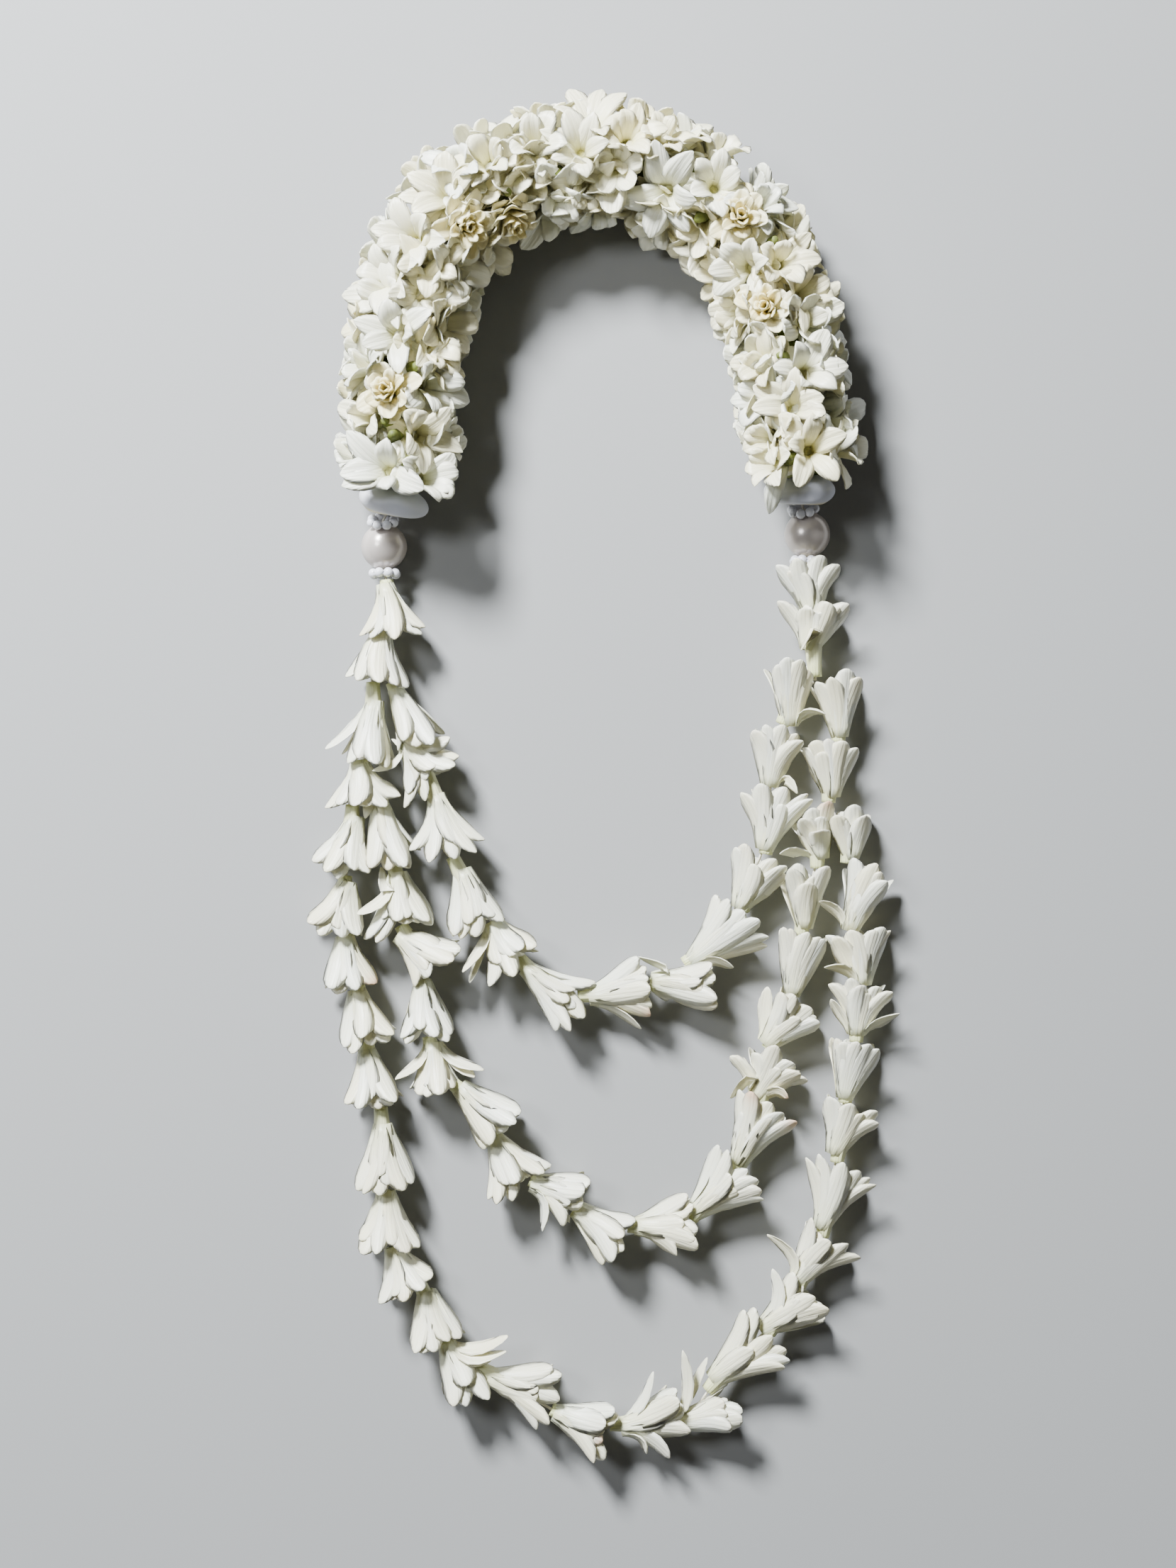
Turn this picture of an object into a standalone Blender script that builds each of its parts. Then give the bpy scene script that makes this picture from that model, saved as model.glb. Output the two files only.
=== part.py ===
"""A lei of white tuberose, laid flat.

A thick collar of outward-facing blooms ends on each side in a petal cap, a ring
of small beads, a pearl and a second ring of beads. From there three nested
strands of trumpet florets, threaded nose to tail, close the loop.

Lengths in the tables are millimetres. +Y runs from the strands to the crown of
the collar, +Z is up, and the origin is the flat spot under the crown on which
the collar rests.
"""

import math
import random

import bmesh
import bpy
import numpy as np
from mathutils import Vector

MM = 0.001

# Driving sizes
PEARL_ACROSS = 16.0
PEARL_SIDES = 14
PEARL_RINGS = 9
BEAD_ACROSS = 3.4
BEADS_IN_RING = 8
BEAD_RING_RADIUS = 4.1
THREAD_ACROSS = 0.9
BORE_RADIUS = 1.0
CLEARANCE = 0.3
COLLAR_AXIS_HEIGHT = 20.5
COLLAR_CORE_RADIUS = 8.5
CORE_SIDES = 7
CORE_STOPS = 2
THROAT_RADIUS = 15.0
BLOOM_REACH = 15.0
BLOOM_RISE = 4.6
BLOOM_PETAL_WIDTH = 9.4
BLADE = 1.5
THROAT_DEPTH = 3.0
NOTCH_REACH = 0.36
WIDEST_SHARE = 0.9
STRAND_HEIGHT = 10.5
LOWEST = 0.3
YIELD = 0.04
TUBE_BASE_RADIUS = 2.4
TUBE_THROAT_RADIUS = 3.4
CUP_RADIUS = 2.75
FLORET_SPREAD = 11.8
FLORET_PETAL_WIDTH = 7.0
FLORET_PETALS = 6
NOTCH_SHARE = 0.2
NOTCH_DEPTH = 0.8
MOST_LEAN = math.radians(12)
CAP_RADIUS = 11.5
CAP_DEPTH = 10.5
CAP_WALL = 1.0
CAP_STANDOFF = 1.8

# Middle of the collar, from its left end over the crown to its right end
COLLAR_ROUTE = (
    (-69, -110.5), (-69, -99), (-67, -62), (-60, -34), (-50, -17), (-31, -5), (0, 0),
    (23, -5), (40, -15), (54, -32), (61, -51), (66, -80), (69, -104), (69, -106.5),
)

# Stations along the collar between which its blooms are held in one body
COLLAR_JOINTS = (0, 26, 55, 88, 112, 141, 168, 191, 218, 250, 272)

# Blooms on the upper side: station, angle from straight up (outer side positive),
# turn of the first petal, and form
SEEN_BLOOMS = (
    (3, 10, 90, "star"), (2, -45, 20, "star"), (11, 85, 40, "star"), (13, -88, 0, "star"),
    (15, -30, 40, "star"), (20, 45, 150, "star"), (30, 10, 100, "rosette"),
    (32, -42, 100, "star"), (38, 62, 180, "star"), (46, -48, 330, "star"),
    (49, 5, 106, "star"), (59, -60, 120, "star"), (61, 32, 155, "star"),
    (66, -20, 60, "star"), (70, 66, 116, "star"), (72, -92, 30, "star"),
    (77, -50, 40, "star"), (82, 15, 115, "star"), (96, -35, 60, "rosette"),
    (99, 12, 92, "star"), (100, -95, 300, "star"), (107, 38, 60, "star"),
    (107, -12, 82, "cup"), (116, -68, 100, "rosette"), (118, 22, 127, "star"),
    (125, -12, 79, "cup"), (132, 28, 96, "star"), (132, -100, 260, "star"),
    (135, -20, 90, "cup"), (148, 0, 108, "star"), (150, 62, 120, "star"),
    (153, -78, 265, "star"), (161, -24, 300, "cup"), (163, 24, 71, "star"),
    (173, 40, 100, "star"), (177, -85, 250, "star"), (181, -32, 125, "star"),
    (184, 66, 93, "star"), (195, 5, 80, "star"), (196, 62, 60, "star"),
    (198, -45, 225, "cup"), (201, -95, 250, "star"), (208, -5, 90, "rosette"),
    (211, 42, 45, "star"), (215, 80, 20, "star"), (224, -28, 135, "star"),
    (228, 15, 75, "star"), (236, -70, 190, "star"), (238, 44, 83, "star"),
    (240, -14, 90, "rosette"), (247, 60, 28, "cup"), (253, -38, 180, "cup"),
    (260, 82, 0, "star"), (261, -50, 180, "star"), (262, 14, 100, "star"),
    (272, -48, 200, "star"), (276, -4, 95, "star"), (279, 82, 20, "star"),
    (285, -44, 200, "star"), (286, -20, 90, "bud"), (290, 12, 90, "star"),
    (290, 84, 0, "star"), (293, -66, 210, "star"),
)

COLLAR_SEED = 30

# The station above the origin
ORIGIN_STATION = 148.0

# Blooms on the underside: one row down the middle and one on either side of it
HIDDEN_PITCH = 34.0
HIDDEN_ANGLES = (180, 128, -130)

# The bloom pressed flat on the surface under the crown, beside the origin
PRESSED_BLOOM = (0.0, -8.5)

# Florets of each strand in threading order: x and y of the throat, then of the mouth
LEFT_LEAD = ((-74, -149, -72, -162), (-76, -164, -78, -179))
LEFT_SHARED = ((-78, -190, -81, -206), (-83, -211, -85, -221))
OUTER_STRAND = (
    (-86, -230, -90, -244), (-89, -253, -91, -266), (-88, -272, -86, -285),
    (-83, -290, -82, -303), (-80, -311, -80, -327), (-75, -337, -75, -356),
    (-74, -361, -73, -376), (-70, -380, -68, -393), (-59, -395, -56, -410),
    (-51, -413, -43, -425), (-34, -422, -16, -429), (-11, -435, 4, -442),
    (12, -437, 29, -434), (31, -435, 46, -431), (43, -419, 59, -406),
    (61, -402, 73, -390), (71, -384, 82, -372), (79, -364, 84, -347),
    (84, -338, 88, -326), (86, -319, 90, -304), (90, -297, 91, -283),
    (91, -279, 91, -265), (89, -261, 90, -241), (88, -235, 88, -222),
)
MIDDLE_STRAND = (
    (-75, -225, -73, -243), (-70, -250, -67, -263), (-66, -269, -57, -280),
    (-61, -287, -60, -303), (-57, -309, -55, -322), (-45, -323, -33, -335),
    (-34, -341, -26, -354), (-19, -355, -7, -359), (-4, -365, 7, -374),
    (17, -368, 33, -367), (36, -361, 52, -351), (50, -342, 59, -325),
    (57, -319, 61, -308), (61, -301, 71, -290), (68, -283, 72, -266),
    (72, -259, 74, -243), (77, -235, 77, -222),
)
INNER_STRAND = (
    (-69, -185, -62, -201), (-64, -203, -64, -220), (-55, -222, -51, -240),
    (-46, -248, -41, -266), (-35, -266, -30, -278), (-22, -281, -7, -294),
    (1, -287, 18, -287), (23, -283, 41, -285), (36, -273, 53, -261),
    (51, -253, 58, -239), (59, -232, 61, -215), (60, -210, 61, -194),
    (67, -189, 68, -171),
)
RIGHT_SHARED = ((81, -214, 82, -199), (84, -193, 83, -176))
RIGHT_LEAD = ((74, -163, 75, -151), (74, -150, 73, -135))

# Where a branch of the thread enters the first tube of a strand
TUBE_STARTS = {
    "left_lead": (-74, -143), "left_shared": (-79.2, -176), "outer": (-87, -220),
    "middle": (-77.5, -217.5), "inner": (-72, -178), "right_shared": (80, -221),
    "right_lead": (75.5, -178),
}

# How far a strand's thread stops short of the thread that it joins, at either end
KNOT_GAPS = {"thread_outer": (0.4, 0.4), "thread_middle": (0.7, 1.2), "thread_inner": (2.4, 0.9)}

# Beads, pearls and caps: middle of each piece on the thread
LEFT_PEARL = (-75, -131.2, 8.4)
LEFT_UPPER_RING = (-75.0, -122.7, 12.9)
LEFT_LOWER_RING = (-74.8, -140.7, 8.8)
RIGHT_PEARL = (72.8, -126.9, 8.4)
RIGHT_UPPER_RING = (71.0, -118.6, 12.9)
RIGHT_LOWER_RING = (72.2, -136.4, 8.8)

PETAL_WHITE = (0.86, 0.86, 0.80)
CAP_WHITE = (0.72, 0.75, 0.80)
PEARL_NACRE = (0.80, 0.74, 0.70)
BEAD_WHITE = (0.78, 0.78, 0.82)
THREAD_WHITE = (0.75, 0.72, 0.64)

UP = Vector((0, 0, 1))


def clear_scene():
    for item in list(bpy.data.objects):
        bpy.data.objects.remove(item, do_unlink=True)


def new_collection(name):
    collection = bpy.data.collections.new(name)
    bpy.context.scene.collection.children.link(collection)
    return collection


def make_material(name, colour, roughness):
    material = bpy.data.materials.new(name)
    material.use_nodes = True
    shader = material.node_tree.nodes["Principled BSDF"]
    shader.inputs["Base Color"].default_value = (*colour, 1.0)
    shader.inputs["Roughness"].default_value = roughness
    shader.inputs["Metallic"].default_value = 0.0
    return material


def smooth_line(points, steps=24):
    """A Catmull-Rom curve through the points, as closely spaced points."""
    points = [Vector((*point, 0.0)[:3]) for point in points]
    ends = [points[0] * 2 - points[1], *points, points[-1] * 2 - points[-2]]
    line = []
    for before, start, end, after in zip(ends, ends[1:], ends[2:], ends[3:]):
        for step in range(steps):
            t = step / steps
            line.append(0.5 * (2 * start + (end - before) * t
                               + (2 * before - 5 * start + 4 * end - after) * t ** 2
                               + (3 * start - before - 3 * end + after) * t ** 3))
    line.append(points[-1])
    return line


class Collar:
    """The middle line of the collar, read by its station in millimetres."""

    def __init__(self):
        line = smooth_line(COLLAR_ROUTE)
        self.points = np.array([point[:2] for point in line])
        steps = np.linalg.norm(np.diff(self.points, axis=0), axis=1)
        self.stations = np.concatenate([[0.0], np.cumsum(steps)])
        self.length = float(self.stations[-1])

    def point(self, station):
        x, y = (np.interp(station, self.stations, self.points[:, axis]) for axis in (0, 1))
        return Vector((x, y, COLLAR_AXIS_HEIGHT))

    def heading(self, station):
        low = max(station - 1.0, 0.0)
        high = min(station + 1.0, self.length)
        return (self.point(high) - self.point(low)).normalized()


def across(axis):
    """Two directions square to an axis and to each other, the first one level."""
    side = axis.cross(UP)
    if side.length < 0.01:
        side = Vector((1, 0, 0))
    side.normalize()
    return side, side.cross(axis).normalized()


def lifted(height, floor):
    """A height kept above a floor; the deeper it was, the more it clears it."""
    return height if height >= floor else floor + YIELD * (floor - height)


def mesh_object(name, bm, collection):
    bmesh.ops.recalc_face_normals(bm, faces=bm.faces)
    if bm.calc_volume(signed=True) < 0:
        bmesh.ops.reverse_faces(bm, faces=bm.faces)
    bmesh.ops.scale(bm, vec=(MM, MM, MM), verts=bm.verts)
    mesh = bpy.data.meshes.new(name)
    bm.to_mesh(mesh)
    bm.free()
    item = bpy.data.objects.new(name, mesh)
    collection.objects.link(item)
    return item


def ring(bm, centre, axis, radius, sides, turn=0.0):
    side, rise = across(axis)
    angles = [turn + math.tau * step / sides for step in range(sides)]
    return [bm.verts.new(centre + radius * (math.cos(a) * side + math.sin(a) * rise))
            for a in angles]


def bridge(bm, first, second):
    count = len(first)
    for index in range(count):
        after = (index + 1) % count
        bm.faces.new((first[index], first[after], second[after], second[index]))


def sleeve(name, centres, headings, radius, sides, collection):
    """A thick-walled tube along some centres, open for the thread from end to end."""
    bm = bmesh.new()
    outer = []
    inner = []
    for centre, axis in zip(centres, headings):
        outer.append(ring(bm, centre, axis, radius, sides))
        inner.append(ring(bm, centre, axis, BORE_RADIUS, sides))
    for wall in (outer, inner):
        for first, second in zip(wall, wall[1:]):
            bridge(bm, first, second)
    bridge(bm, outer[0], inner[0])
    bridge(bm, outer[-1], inner[-1])
    return mesh_object(name, bm, collection)


def star(name, root, throat, facing, turn, form, hold, collection):
    """A bloom: petals as thin lenses round a throat, on a root that narrows to a point.

    hold bends a point clear of the surface and of the neighbouring blooms, and
    tells how much of a petal's reach is free in a direction.
    """
    side, rise = across(facing)
    bm = bmesh.new()
    petals = form["petals"]
    centre = bm.verts.new(throat - facing * THROAT_DEPTH)
    apex = bm.verts.new(root)

    def at(angle, reach, height):
        outward = math.cos(angle) * side + math.sin(angle) * rise
        return throat + outward * reach + facing * height

    height = form["rise"]
    reaches = []
    for index in range(petals):
        full = form["reach"] * form["lengths"][index]
        reaches.append(full * hold.share(throat, at(turn + math.tau * index / petals, full, height)))
    notches = []
    for index in range(petals):
        angle = turn + math.tau * (index + 0.5) / petals
        shorter, longer = sorted((reaches[index], reaches[(index + 1) % petals]))
        notch = min(form["notch"], NOTCH_REACH * shorter)
        depth = THROAT_DEPTH - 0.95 * (height + THROAT_DEPTH) * notch / longer
        notches.append(bm.verts.new(hold(at(angle, notch, -depth))))
    for index in range(petals):
        angle = turn + math.tau * index / petals
        reach = reaches[index]
        half = min(math.atan2(form["width"] / 2, reach * 0.62), WIDEST_SHARE * math.pi / petals)
        broad = reach * 0.62 / math.cos(half)
        tip = bm.verts.new(hold(at(angle, reach, height)))
        left = bm.verts.new(hold(at(angle - half, broad, 0.62 * height + 0.6)))
        right = bm.verts.new(hold(at(angle + half, broad, 0.62 * height + 0.6)))
        middle = centre.co.lerp(tip.co, 0.5) - facing * BLADE
        back = bm.verts.new(hold(middle, True))
        start = notches[index - 1]
        end = notches[index]
        for first, second in ((start, left), (left, tip), (tip, right), (right, end)):
            bm.faces.new((centre, first, second))
            bm.faces.new((back, second, first))
        bm.faces.new((apex, start, back))
        bm.faces.new((apex, back, end))
    return mesh_object(name, bm, collection)


def petal_ring(bm, neck, cup, throat, opening, depth, turn, spread, hold, way_out):
    """One floret's petals, each a thin lens between two notches of the cup.

    Where the thread turns off sideways, towards way_out, the petal is left out.
    """
    side, rise = across(opening)
    count = FLORET_PETALS
    radius = 0.66 * spread
    half = math.atan2(FLORET_PETAL_WIDTH / 2, radius)
    broad = math.hypot(FLORET_PETAL_WIDTH / 2, radius)

    def at(angle, radius, forward):
        outward = math.cos(angle) * side + math.sin(angle) * rise
        return throat + outward * radius + opening * forward

    petals = []
    for index in range(count):
        angle = turn + math.tau * (index + 1) / count
        if way_out and (at(angle, 1.0, 0.0) - throat).angle(way_out) < math.pi / count:
            petals.append(None)
            continue
        places = (at(angle - half, broad, 0.66 * depth), at(angle, spread, depth),
                  at(angle + half, broad, 0.66 * depth))
        petals.append([bm.verts.new(hold(place)) for place in places])
    notches = []
    for index in range(count):
        flanks = [petal[side].co for petal, side in ((petals[index - 1], 2), (petals[index], 0))
                  if petal]
        mean = sum(flanks, Vector()) / len(flanks)
        corner = cup[index].co
        notches.append(bm.verts.new(corner.lerp(mean, NOTCH_SHARE) - opening * NOTCH_DEPTH))
    for index, petal in enumerate(petals):
        start, end = notches[index], notches[(index + 1) % count]
        cup_start, cup_end = cup[index], cup[(index + 1) % count]
        neck_start, neck_end = neck[index], neck[(index + 1) % count]
        if petal is None:
            bm.faces.new((cup_start, start, end, cup_end))
            bm.faces.new((neck_start, neck_end, end, start))
            continue
        left, tip, right = petal
        outward = (tip.co - throat).normalized()
        lift = (outward - opening * outward.dot(opening)).normalized()
        front = (cup_start.co + cup_end.co) * 0.5
        back = bm.verts.new(hold(front.lerp(tip.co, 0.5) + lift * BLADE))
        bm.faces.new((cup_start, start, left))
        bm.faces.new((cup_start, left, tip))
        bm.faces.new((cup_start, tip, cup_end))
        bm.faces.new((cup_end, tip, right))
        bm.faces.new((cup_end, right, end))
        outline = (neck_start, start, left, tip, right, end, neck_end)
        for first, second in zip(outline, outline[1:]):
            bm.faces.new((back, second, first))
        bm.faces.new((back, neck_start, neck_end))


def spray(name, florets, collection):
    """Florets threaded nose to tail as one body, with one bore from end to end.

    Each floret is (start of its tube, throat, mouth, turn, spread, hold, way out).
    A tube grows from the floor of the cup before it.
    """
    bm = bmesh.new()
    count = FLORET_PETALS
    half_step = math.pi / count
    start, throat, _, turn, _, _, _ = florets[0]
    axis = (throat - start).normalized()
    outer = ring(bm, start, axis, TUBE_BASE_RADIUS, count, turn + half_step)
    bore = ring(bm, start, axis, BORE_RADIUS, count, turn + half_step)
    bridge(bm, outer, bore)
    for index, (start, throat, mouth, turn, spread, hold, way_out) in enumerate(florets):
        opening = (mouth - throat).normalized()
        middle_axis = ((throat - start).normalized() + opening).normalized()
        angle = turn + half_step
        neck = ring(bm, throat, middle_axis, TUBE_THROAT_RADIUS, count, angle)
        next_bore = ring(bm, throat, middle_axis, BORE_RADIUS, count, angle)
        cup = ring(bm, throat + opening * 0.4, opening, CUP_RADIUS, count, angle)
        bridge(bm, outer, neck)
        bridge(bm, bore, next_bore)
        depth = (mouth - throat).length
        petal_ring(bm, neck, cup, throat, opening, depth, turn, spread, hold, way_out)
        if index + 1 < len(florets):
            axis = (florets[index + 1][1] - throat).normalized()
            outer = ring(bm, throat + axis * 0.5, axis, TUBE_BASE_RADIUS - 0.1, count, angle)
            bridge(bm, cup, outer)
            bore = next_bore
        else:
            bridge(bm, cup, next_bore)
    return mesh_object(name, bm, collection)


def keep_largest_body(mesh):
    """Drops loose scraps that a union leaves, and keeps the one main body."""
    bm = bmesh.new()
    bm.from_mesh(mesh)
    bmesh.ops.triangulate(bm, faces=bm.faces)
    bm.verts.ensure_lookup_table()
    unseen = set(bm.verts)
    groups = []
    while unseen:
        group = set()
        stack = [unseen.pop()]
        while stack:
            vertex = stack.pop()
            group.add(vertex)
            for edge in vertex.link_edges:
                other = edge.other_vert(vertex)
                if other in unseen:
                    unseen.discard(other)
                    stack.append(other)
        groups.append(group)
    groups.sort(key=len, reverse=True)
    scraps = [vertex for group in groups[1:] for vertex in group]
    bmesh.ops.delete(bm, geom=scraps, context="VERTS")
    bm.to_mesh(mesh)
    bm.free()


def unite(base, others):
    """Joins a body with every body in a collection."""
    modifier = base.modifiers.new("unite", "BOOLEAN")
    modifier.operation = "UNION"
    modifier.solver = "MANIFOLD"
    modifier.operand_type = "COLLECTION"
    modifier.collection = others
    graph = bpy.context.evaluated_depsgraph_get()
    mesh = bpy.data.meshes.new_from_object(base.evaluated_get(graph))
    base.modifiers.clear()
    base.data = mesh
    keep_largest_body(mesh)


def fuse(name, pieces, material, model, workshop):
    """Joins some overlapping bodies into one node by a single union."""
    base = pieces[0]
    others = bpy.data.collections.new(name + "_parts")
    workshop.children.link(others)
    for piece in pieces[1:]:
        workshop.objects.unlink(piece)
        others.objects.link(piece)
    if len(pieces) > 1:
        unite(base, others)
    for piece in pieces[1:]:
        bpy.data.objects.remove(piece, do_unlink=True)
    bpy.data.collections.remove(others)
    workshop.objects.unlink(base)
    model.objects.link(base)
    base.name = name
    base.data.name = name
    base.data.materials.clear()
    base.data.materials.append(material)
    base.data.shade_flat()
    return base


def bloom_form(kind, random_source):
    """Sizes of a bloom of one kind, each petal a little longer or shorter."""
    forms = {
        "star": dict(petals=5, reach=BLOOM_REACH, rise=BLOOM_RISE, width=BLOOM_PETAL_WIDTH, notch=4.4),
        "rosette": dict(petals=6, reach=11.5, rise=4.2, width=8.4, notch=4.8),
        "heart": dict(petals=5, reach=6.5, rise=6.4, width=5.8, notch=3.0),
        "cup": dict(petals=5, reach=9.5, rise=6.4, width=8.6, notch=4.6),
        "bud": dict(petals=5, reach=6.0, rise=5.6, width=6.0, notch=3.4),
        "hidden": dict(petals=4, reach=16.5, rise=3.6, width=13.5, notch=5.0),
    }
    form = forms[kind]
    form["lengths"] = [random_source.uniform(0.88, 1.06) for _ in range(form["petals"])]
    return form


class CollarHold:
    """Keeps a bloom between planes and above the surface.

    Each plane is a point and a direction out of the bloom's own space.
    """

    def __init__(self, planes, facing):
        self.planes = planes
        self.back_floor = LOWEST if facing.z > -0.2 else LOWEST + 1.0

    def __call__(self, point, is_back=False):
        point = point.copy()
        for _ in range(2):
            for origin, normal in self.planes:
                excess = (point - origin).dot(normal)
                if excess > 0:
                    point -= normal * excess * (1 + YIELD)
        point.z = lifted(point.z, self.back_floor if is_back else LOWEST)
        return point

    def share(self, start, end):
        """The part of the way from start to end that stays inside every plane."""
        share = 1.0
        for origin, normal in self.planes:
            along = (end - start).dot(normal)
            room = (origin - start).dot(normal)
            if along > 0:
                share = min(share, room / along)
        return max(share, 0.3)


def plane_between(own, other, gap):
    """The plane between two blooms, nearer to the one of smaller weight."""
    span = other["throat"] - own["throat"]
    distance = span.length
    own_weight = own["weight"]
    other_weight = other["weight"]
    part = 0.5 + (own_weight ** 2 - other_weight ** 2) / (2 * distance ** 2)
    part = min(max(part, 0.22), 0.78)
    outward = (own["facing"] + other["facing"]).normalized()
    normal = (span - outward * span.dot(outward)).normalized()
    return own["throat"] + span * part - normal * gap, normal


def bloom_places(collar):
    """Every bloom of the collar: the seen ones, and rows round the underside."""
    places = [list(place) for place in SEEN_BLOOMS]
    rows = int(collar.length // HIDDEN_PITCH)
    for row in range(rows):
        for index, angle in enumerate(HIDDEN_ANGLES):
            station = (row + 0.5) * collar.length / rows + (0, 6, -6)[index]
            near_origin = (collar.point(station) - collar.point(ORIGIN_STATION)).length < 13
            if angle == 180 and near_origin:
                continue
            places.append([station, angle, 37 * row + 50 * index, "hidden"])
    return places


def make_collar(materials, model, workshop):
    collar = Collar()
    source = random.Random(COLLAR_SEED)
    joints = [*COLLAR_JOINTS, collar.length]
    places = bloom_places(collar)
    for number, (low, high) in enumerate(zip(joints, joints[1:]), 1):
        inset = CLEARANCE / 2
        low_plane = (collar.point(low) + collar.heading(low) * inset, -collar.heading(low))
        high_plane = (collar.point(high) - collar.heading(high) * inset, collar.heading(high))
        stops = np.linspace(low + inset, high - inset, CORE_STOPS)
        centres = [collar.point(stop) for stop in stops]
        headings = [collar.heading(stop) for stop in (low, *stops[1:-1], high)]
        pieces = [sleeve("core", centres, headings, COLLAR_CORE_RADIUS, CORE_SIDES, workshop)]
        blooms = [place_bloom(collar, place, low, high, source)
                  for place in places if low <= place[0] < high]
        pressed = []
        if low <= ORIGIN_STATION < high:
            pressed = [pressed_place(collar)]
        for bloom in blooms:
            others = [other for other in blooms + pressed if other is not bloom]
            planes = [plane_between(bloom, other, 0.2) for other in others
                      if (other["throat"] - bloom["throat"]).length < 30]
            planes += [low_plane, high_plane]
            pieces += make_bloom(bloom, planes, source, workshop)
        if pressed:
            pieces.append(pressed_bloom(workshop))
        fuse(f"collar_blooms_{number:02d}", pieces, materials["petal"], model, workshop)
    return collar


def place_bloom(collar, place, low, high, source):
    station, angle, turn, kind = place
    station = min(max(station, low + 3.5), high - 3.5)
    heading = collar.heading(station)
    outside = UP.cross(heading).normalized()
    tilt = math.radians(angle)
    facing = (math.cos(tilt) * UP + math.sin(tilt) * outside).normalized()
    middle = collar.point(station)
    weights = {"star": 12.0, "rosette": 12.5, "cup": 9.0, "bud": 6.0, "hidden": 9.0}
    weight = weights[kind] * (0.75 if abs(angle) > 75 else 1.0)
    return dict(facing=facing, throat=middle + facing * (THROAT_RADIUS + source.uniform(-0.5, 0.5)),
                root=middle + facing * 4.5, turn=turn, kind=kind, weight=weight)


def make_bloom(bloom, planes, source, workshop):
    facing = bloom["facing"]
    throat = bloom["throat"]
    hold = CollarHold(planes, facing)
    side, rise = across(facing)
    aim = Vector((math.cos(math.radians(bloom["turn"])), math.sin(math.radians(bloom["turn"])), 0))
    start = math.atan2(aim.dot(rise), aim.dot(side))
    kind = bloom["kind"]
    pieces = [star("bloom", bloom["root"], throat, facing, start, bloom_form(kind, source),
                   hold, workshop)]
    if kind == "rosette":
        pieces.append(star("heart", bloom["root"] + facing, throat + facing * 0.8, facing,
                           start + 0.5, bloom_form("heart", source), hold, workshop))
    return pieces


def pressed_place(collar):
    throat = Vector((*PRESSED_BLOOM, 1.0))
    return dict(facing=-UP, throat=throat, weight=12.0)


def pressed_bloom(workshop):
    """The bloom under the crown, whose whole face lies flat on the surface."""
    source = random.Random(3)
    throat = Vector((*PRESSED_BLOOM, -3.0))

    class Flat:
        def __call__(self, point, is_back=False):
            return Vector((point.x, point.y, BLADE if is_back else 0.0))

        def share(self, start, end):
            return 1.0

    form = bloom_form("star", source)
    form["reach"] = 12.5
    form["width"] = 10.0
    root = Vector((0, 0, COLLAR_AXIS_HEIGHT - 4.0))
    return star("pressed", root, throat, -UP, math.radians(90), form, Flat(), workshop)


def eased(throat, mouth, next_throat):
    """Turns a mouth towards the tube that grows out of it until the two agree."""
    aim = mouth - throat
    tube = (next_throat - throat).normalized()
    angle = aim.angle(tube)
    if angle <= MOST_LEAN:
        return mouth
    return throat + tube.slerp(aim.normalized(), MOST_LEAN / angle) * aim.length


def strand_paths():
    """Each strand as its florets' tubes and mouths, in threading order."""
    tables = {
        "left_lead": LEFT_LEAD, "left_shared": LEFT_SHARED, "outer": OUTER_STRAND,
        "middle": MIDDLE_STRAND, "inner": INNER_STRAND, "right_shared": RIGHT_SHARED,
        "right_lead": RIGHT_LEAD,
    }
    paths = {}
    for strand, rows in tables.items():
        base = Vector((*TUBE_STARTS[strand], STRAND_HEIGHT))
        throats = [Vector((x, y, STRAND_HEIGHT)) for x, y, _, _ in rows]
        florets = []
        for index, (throat, row) in enumerate(zip(throats, rows)):
            mouth = Vector((*row[2:], STRAND_HEIGHT))
            if index + 1 < len(rows):
                mouth = eased(throat, mouth, throats[index + 1])
            florets.append((base, throat, mouth))
            base = throat
        paths[strand] = florets
    return paths


def closest_on(line, point):
    best = None
    for start, end in line:
        span = end - start
        share = min(max((point - start).dot(span) / span.length_squared, 0.0), 1.0)
        foot = start + span * share
        distance = (point - foot).length
        if best is None or distance < best[0]:
            best = (distance, foot)
    return best


# Strands that run on into each other, whose blooms may enclose the next tube
JOINED = {
    frozenset(pair) for pair in (
        ("left_lead", "left_shared"), ("left_lead", "inner"), ("left_shared", "outer"),
        ("outer", "right_shared"), ("middle", "right_shared"), ("left_shared", "middle"),
    )
}


def strand_hold(strand, own_line, lines, floor):
    """Keeps a floret's points above the floor and on their own strand's side."""
    others = [line for name, line in lines.items()
              if name != strand and frozenset((name, strand)) not in JOINED]

    def hold(point):
        point = point.copy()
        point.z = lifted(point.z, floor) if floor else max(point.z, 0.0)
        own_distance, foot = closest_on(own_line, point)
        for line in others:
            other_distance, _ = closest_on(line, point)
            if other_distance > own_distance + 0.8:
                continue
            near, far = 0.0, 1.0
            for _ in range(20):
                share = (near + far) / 2
                trial = foot.lerp(point, share)
                clear = closest_on(line, trial)[0] > closest_on(own_line, trial)[0] + 0.8
                near, far = (share, far) if clear else (near, share)
            point = foot.lerp(point, near)
            own_distance, foot = closest_on(own_line, point)
        return point
    return hold


# Strands whose last floret lets a thread out to one side, and which way in X
SIDE_EXITS = {"left_shared": 1, "inner": 1, "right_shared": -1}

# Florets whose lowest petal touches the surface, counted along their strand
RESTING_FLORETS = (("outer", 8), ("outer", 18))

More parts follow.
